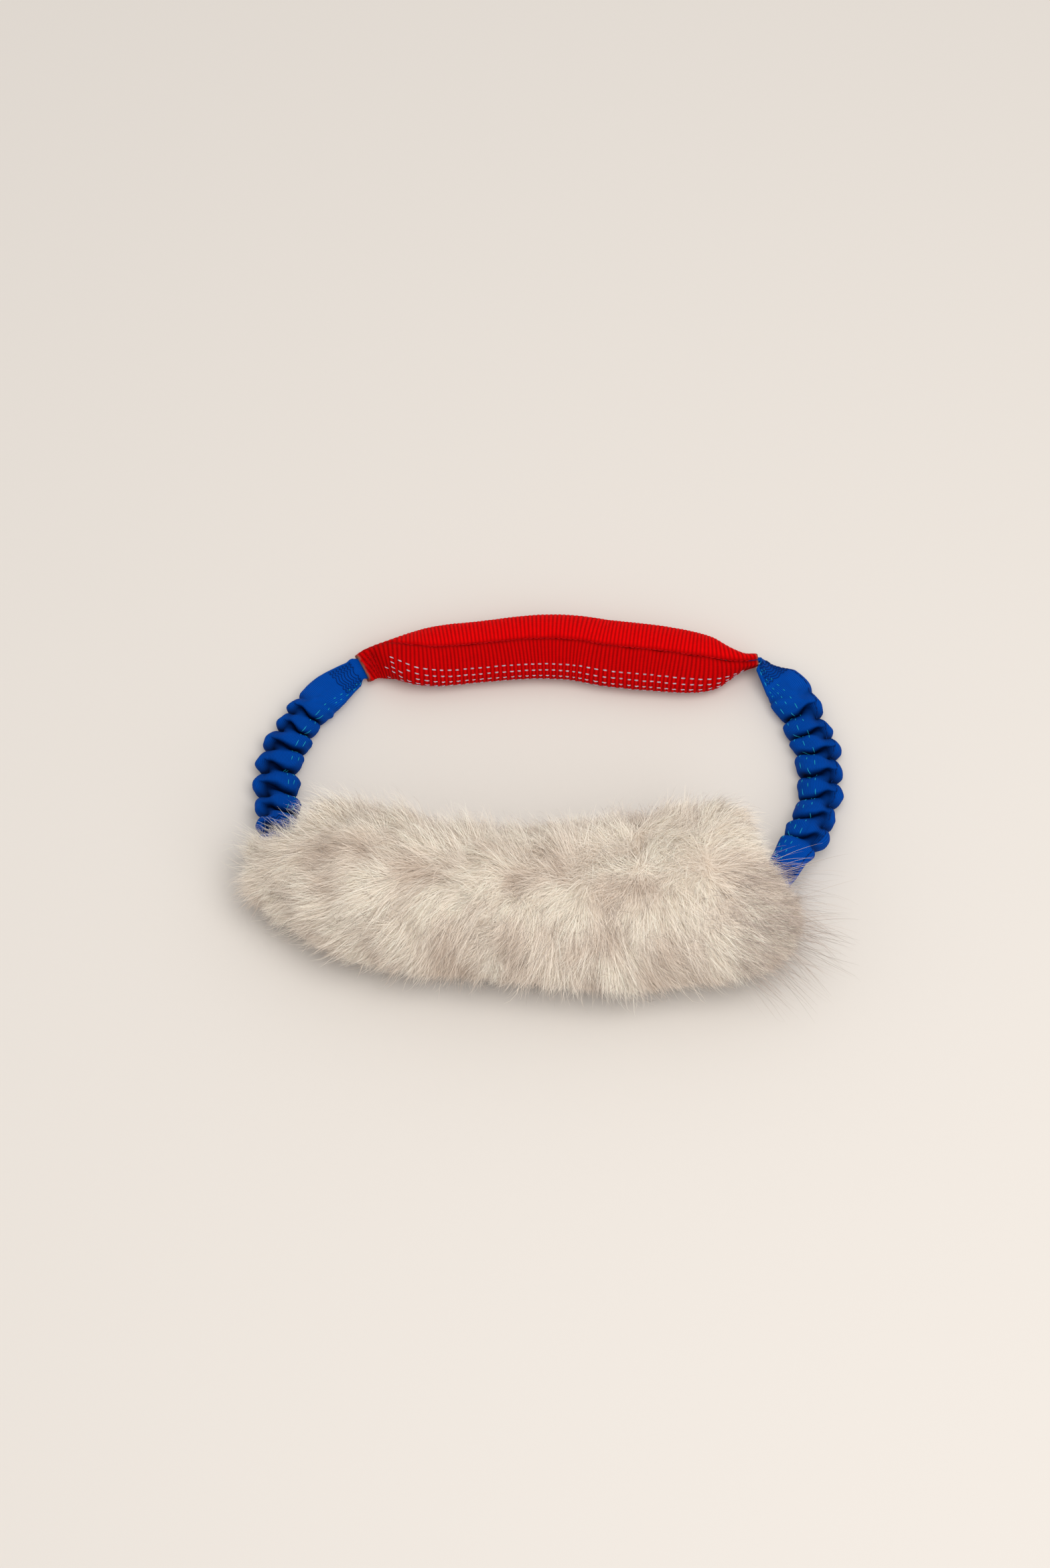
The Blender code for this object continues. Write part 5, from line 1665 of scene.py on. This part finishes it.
def ribbons(name, paths, normals, widths, tints, rng):
    """Tapered flat hairs along the paths, shaded as if the coat were one soft surface."""
    count, steps = paths.shape[:2]
    along = unit(np.gradient(paths, axis=1))
    outward = np.broadcast_to(normals[:, None], paths.shape)
    across = unit(np.cross(along, outward) + 1e-9)
    turn = rng.normal(0, HAIR_TWIST, (count, 1, 1))
    side = across * np.cos(turn) + np.cross(across, along) * np.sin(turn)
    lit = np.sum(np.cross(side, along) * outward, axis=(1, 2))
    side = side * np.where(lit < 0, -1.0, 1.0)[:, None, None]
    taper = np.interp(np.linspace(0, 1, steps), *HAIR_TAPER)
    half = side * (widths[:, None] * taper[None])[..., None] / 2
    points = np.stack([paths - half, paths + half], axis=2)
    face = np.cross(side, along)
    face = face * np.sign(np.sum(face * outward, -1, keepdims=True) + 1e-9)
    soft = unit(mix(outward, face, HAIR_ROUNDNESS))
    i = np.arange(steps - 1) * 2
    quads = copies(np.stack([i, i + 1, i + 3, i + 2], -1), count, steps * 2)
    shade = {"hair": np.repeat(tints, 2, axis=1).reshape(-1, 3)}
    hair = found(hair_finish, "cream_hair", rgb("cream"))
    item = new_mesh(name, points.reshape(-1, 3), quads, hair, shades=shade, closed=False)
    soften(item, np.repeat(soft, 2, axis=1))
    return dress(item, "bite", "cream_fur")


def brown_patches_and_painted_shade(points):
    """How brown the hair is at each place, from 0 to 1: brown patches, with painted shade between the locks
    and on the low front.
    """
    x, y = points[..., 0], points[..., 1]
    entry = joint_place("loop_fold")
    between = between_locks(points)
    low = smooth(0.046, 0.016, points[..., 2]) * smooth(0.0, -0.03, y - entry[1])
    brown = BROAD_BROWN * smooth(0.4, 1.6, ripple((x * 110, y * 110), BROAD_BROWN_SEED))
    # Painted shade in brown between the locks, where the hide sinks
    brown = brown + LOCK_GAP_PAINTED_SHADE * smooth(0.6, 1.0, between)
    # Painted shade in brown on the low front of the fur, between the locks
    brown = brown + LOW_FRONT_PAINTED_SHADE * low * smooth(0.2, 0.8, between)
    turns = (x * PATCH_TURNS, y * PATCH_TURNS)
    bent = [PATCH_BEND * ripple(turns, PATCH_BEND_SEED + k) for k in range(2)]
    for right, back, radius in FUR_PATCHES:
        apart = np.hypot(x - entry[0] - right + bent[0], (y - entry[1] - back + bent[1]) * 1.3) / radius
        brown = brown + PATCH_SHARE * smooth(1.6, 0.1, apart)
    return np.clip(brown, 0, 1)


def fur_tints(paths, tone, edge, rng):
    """Colours along the hairs: cream or brown, some with dark tips, with painted shade near their roots."""
    names = ("cream", "beige", "patch_brown", "grey_brown")
    cream, beige, brown, dark = (np.array(rgb(name)) for name in names)
    count, steps = paths.shape[:2]
    t = along_hair(steps)
    tints = mix(cream, beige, (BEIGE_SHARE * (1 - tone) ** 1.5)[:, None, None])
    brown_patch_and_painted_shade = PATCH_SHARE * brown_patches_and_painted_shade(paths[:, steps // 2]) * rng.uniform(0.3, 1.0, count)
    tints = mix(tints, brown, brown_patch_and_painted_shade[:, None, None])
    # Painted shade: each hair is darker near its root
    tints = tints * mix(0.94, 1.0, smooth(0.0, 0.5, t))
    guard = (rng.uniform(0, 1, count) < mix(GUARD_SHARE, EDGE_GUARD_SHARE, edge))[:, None, None]
    tints = mix(tints, dark, guard * smooth(0.4, 0.9, t))
    return np.clip(tints * rng.uniform(0.92, 1.1, (count, 1, 1)), 0, 1)


def fur_layer(name, pieces, each, steps, long, rise, gather, width, seed):
    """One layer of the fur, in pieces from left to right."""
    rng = np.random.default_rng(seed)
    pelt = Pelt()
    count = pieces * each // 1
    paths, normals, tone, edge = hairs(pelt, Locks(pelt), count, steps, long, rise, gather, rng)
    wider = 1.0
    widths = sizes().hair_width * width * rng.uniform(0.6, 1.3, count) * wider
    tints = fur_tints(paths, tone, edge, rng)
    order = np.argsort(paths[:, 0, 0])
    for number, chosen in enumerate(np.array_split(order, pieces), 1):
        ribbons(f"{name}_{number}", paths[chosen], normals[chosen], widths[chosen], tints[chosen], rng)


def stray_hairs():
    """Single dark guard hairs that stand out of the coat, most of them along its edges."""
    rng = np.random.default_rng(STRAY_HAIR_SEED)
    pelt = Pelt()
    rows, columns = pelt.scatter(STRAY_HAIRS, rng)
    edge = np.abs(np.cos(pelt.angles(columns))) > STRAY_HAIR_EDGE
    kept = edge | (rng.uniform(0, 1, STRAY_HAIRS) < STRAY_HAIR_TOP_SHARE)
    comb = Comb(pelt, rows[kept], columns[kept])
    comb.hold = comb.hold * 0.7
    count = len(comb.rows)
    flow = comb.level(comb.flow + 0.6 * rng.normal(0, 1, comb.flow.shape))
    hair = rng.uniform(*STRAY_HAIR_LENGTHS, count) * comb.long
    up = comb.room + hair * rng.uniform(0.0, 0.3, count)
    t = along_hair(GUARD_HAIR_STEPS)
    curl = np.cross(flow, comb.normal)[:, None] * t**2
    paths = comb.lay(flow, up, hair, GUARD_HAIR_STEPS)
    paths = settled(paths + curl * rng.normal(0, STRAY_HAIR_CURL, (count, 1, 1)), rng)
    dark = smooth(0.1, 0.6, t) * rng.uniform(0.3, 1.0, (count, 1, 1))
    tints = mix(np.array(rgb("beige")), np.array(rgb("grey_brown")) * 0.75, dark)
    ribbons("fur_stray_hairs", paths, comb.normal, rng.uniform(*STRAY_HAIR_WIDTHS, count), tints, rng)


def long_hairs():
    """Long dark guard hairs that fan out from the right end of the fur."""
    rng = np.random.default_rng(LONG_HAIR_SEED)
    pelt = Pelt()
    count = LONG_HAIRS
    rows = HIDE_ROWS * rng.uniform(*LONG_HAIR_ROW_SHARES, count)
    comb = Comb(pelt, rows, HIDE_COLUMNS * rng.uniform(*LONG_HAIR_COLUMN_SHARES, count))
    comb.hold = np.zeros(count)
    heading = np.radians(rng.uniform(*LONG_HAIR_HEADINGS, count))
    flow = unit(np.stack([np.cos(heading), np.sin(heading), rng.uniform(-0.15, 0.35, count)], -1))
    hair = rng.uniform(*LONG_HAIR_LENGTHS, count)
    paths = comb.lay(flow, hair * rng.uniform(0.15, 0.4, count), hair * 0.9, GUARD_HAIR_STEPS)
    drop = (hair * rng.uniform(0.1, 0.45, count))[:, None, None] * along_hair(GUARD_HAIR_STEPS) ** 2
    paths = paths - UP * drop
    paths[..., 2] = np.maximum(paths[..., 2], LONG_HAIR_LOWEST)
    paths[..., 1] = np.maximum(paths[..., 1], LOWEST_FRONT)
    paths[..., 0] = np.minimum(paths[..., 0], FURTHEST_RIGHT)
    tints = np.broadcast_to(np.array(rgb("grey_brown")), paths.shape) * rng.uniform(0.7, 1.8, (count, 1, 1))
    ribbons("fur_long_hairs", paths, comb.normal, rng.uniform(*LONG_HAIR_WIDTHS, count), tints, rng)


# The stage


def make_floor():
    corners = np.array([(-1, -1, 0), (1, -1, 0), (1, 1, 0), (-1, 1, 0)]) * FLOOR_SIZE / 2
    finish = Finish("pale_floor", rgb("floor"), 0.9, 0.1)
    new_mesh("floor", corners, np.array([[0, 1, 2, 3]]), finish.material)


def put(item, place, facing):
    """Puts a light or the camera at its place, turned to face along this direction."""
    item.location = place
    item.rotation_mode = "QUATERNION"
    item.rotation_quaternion = facing.to_track_quat("-Z", "Y")
    bpy.context.scene.collection.objects.link(item)


def make_light(name, place, size, power, colour):
    data = bpy.data.lights.new(name, "AREA")
    data.shape = "DISK"
    data.size = size
    data.energy = power
    data.color = colour
    put(bpy.data.objects.new(name, data), Vector(place), -Vector(place))


def make_camera():
    data = bpy.data.cameras.new("camera")
    data.lens = CAMERA_LENS
    data.sensor_width = CAMERA_SENSOR
    data.dof.use_dof = False
    item = bpy.data.objects.new("camera", data)
    elevation = math.radians(CAMERA_ELEVATION)
    back = Vector((0, -math.cos(elevation), math.sin(elevation)))
    aim = Vector(joint_place("loop_fold") + np.array(AIM_FROM_LEFT_ENTRY))
    put(item, aim + back * CAMERA_DISTANCE, -back)
    bpy.context.scene.camera = item


def make_stage():
    scene = bpy.context.scene
    scene.view_settings.view_transform = "Standard"
    world = bpy.data.worlds.new("room")
    scene.world = world
    world.use_nodes = True
    background = world.node_tree.nodes["Background"]
    background.inputs["Color"].default_value = (*ROOM_COLOUR, 1.0)
    background.inputs["Strength"].default_value = ROOM_STRENGTH
    make_floor()
    for name, details in LIGHTS.items():
        make_light(name, *details)
    make_camera()


class TugPiece:
    """What every operator of the toy shares."""

    bl_options = {"REGISTER", "UNDO"}

    @classmethod
    def poll(cls, context):
        return hasattr(context.scene, "tug_sizes")

    def execute(self, context):
        before = len(bpy.data.objects)
        self.build()
        if len(bpy.data.objects) == before:
            raise RuntimeError(f"{self.bl_label} made nothing")
        return {"FINISHED"}


class TUG_OT_stage(TugPiece, bpy.types.Operator):
    """Makes the floor, the lights and the camera"""

    bl_idname = "tug.stage"
    bl_label = "Stage"

    def build(self):
        make_stage()


class TUG_OT_handle(TugPiece, bpy.types.Operator):
    """Makes the handle's two ribbed webbing strips, their tracer yarn and the foam inside"""

    bl_idname = "tug.handle"
    bl_label = "Handle"

    def build(self):
        handle_foam()
        handle_strip("front_strip", 1, "handle_front_webbing")
        handle_strip("back_strip", -1, "handle_back_webbing")
        handle_tracers()


class TUG_OT_handle_stitches(TugPiece, bpy.types.Operator):
    """Makes the handle's two seams and the stitching across its ends"""

    bl_idname = "tug.handle_stitches"
    bl_label = "Handle stitches"

    def build(self):
        seam_stitches("top_seam_stitches", 1, "handle_top_seam")
        seam_stitches("bottom_seam_stitches", -1, "handle_bottom_seam")
        stub_stitches("left_end_stitches", True, "left_handle_end_stitching")
        stub_stitches("right_end_stitches", False, "right_handle_end_stitching")


class TUG_OT_sleeves(TugPiece, bpy.types.Operator):
    """Makes the two gathered sleeves with their tracer yarn"""

    bl_idname = "tug.sleeves"
    bl_label = "Sleeves"

    def build(self):
        for from_left in (True, False):
            sleeve(from_left)
            sleeve_dashes(from_left)


class TUG_OT_sleeve_stitches(TugPiece, bpy.types.Operator):
    """Makes the zigzag tacks on the sleeves' tabs and the right sleeve's side seam"""

    bl_idname = "tug.sleeve_stitches"
    bl_label = "Sleeve stitches"

    def build(self):
        for from_left in (True, False):
            for part in ("upper", "lower"):
                tab_stitches(from_left, part)
        side_seam()


class TUG_OT_cords(TugPiece, bpy.types.Operator):
    """Makes the two braided elastics inside the sleeves"""

    bl_idname = "tug.cords"
    bl_label = "Elastic cords"

    def build(self):
        for from_left in (True, False):
            cord(from_left)


class TUG_OT_core(TugPiece, bpy.types.Operator):
    """Makes the strap and the padding inside the bite tube"""

    bl_idname = "tug.core"
    bl_label = "Bite tube core"

    def build(self):
        bite_core()


class TUG_OT_fur(TugPiece, bpy.types.Operator):
    """Makes the hide and all the hairs on it"""

    bl_idname = "tug.fur"
    bl_label = "Fur"

    def build(self):
        fur_hide()
        for name, layer in FUR_LAYERS.items():
            fur_layer(name, *layer)
        stray_hairs()
        long_hairs()


OPERATORS = (
    TUG_OT_stage,
    TUG_OT_handle,
    TUG_OT_handle_stitches,
    TUG_OT_sleeves,
    TUG_OT_sleeve_stitches,
    TUG_OT_cords,
    TUG_OT_core,
    TUG_OT_fur,
)


class TUG_PT_panel(bpy.types.Panel):
    """The toy's sizes, colours and pieces"""

    bl_idname = "TUG_PT_panel"
    bl_label = "Tug Toy"
    bl_space_type = "VIEW_3D"
    bl_region_type = "UI"
    bl_category = "Tug Toy"

    def draw(self, context):
        for group in (context.scene.tug_sizes, context.scene.tug_colours):
            column = self.layout.column()
            for name in group.bl_rna.properties.keys():
                if name not in ("rna_type", "name"):
                    column.prop(group, name)
        for operator in OPERATORS:
            self.layout.operator(operator.bl_idname)


CLASSES = (TugSizes, TugColours, *OPERATORS, TUG_PT_panel)


def register():
    for item in CLASSES:
        bpy.utils.register_class(item)
    bpy.types.Scene.tug_sizes = bpy.props.PointerProperty(type=TugSizes)
    bpy.types.Scene.tug_colours = bpy.props.PointerProperty(type=TugColours)


def unregister():
    del bpy.types.Scene.tug_colours
    del bpy.types.Scene.tug_sizes
    for item in reversed(CLASSES):
        bpy.utils.unregister_class(item)


def main():
    register()
    bpy.ops.tug.stage()
    bpy.ops.tug.handle()
    bpy.ops.tug.handle_stitches()
    bpy.ops.tug.sleeves()
    bpy.ops.tug.sleeve_stitches()
    bpy.ops.tug.cords()
    bpy.ops.tug.core()
    bpy.ops.tug.fur()


if __name__ == "__main__":
    main()
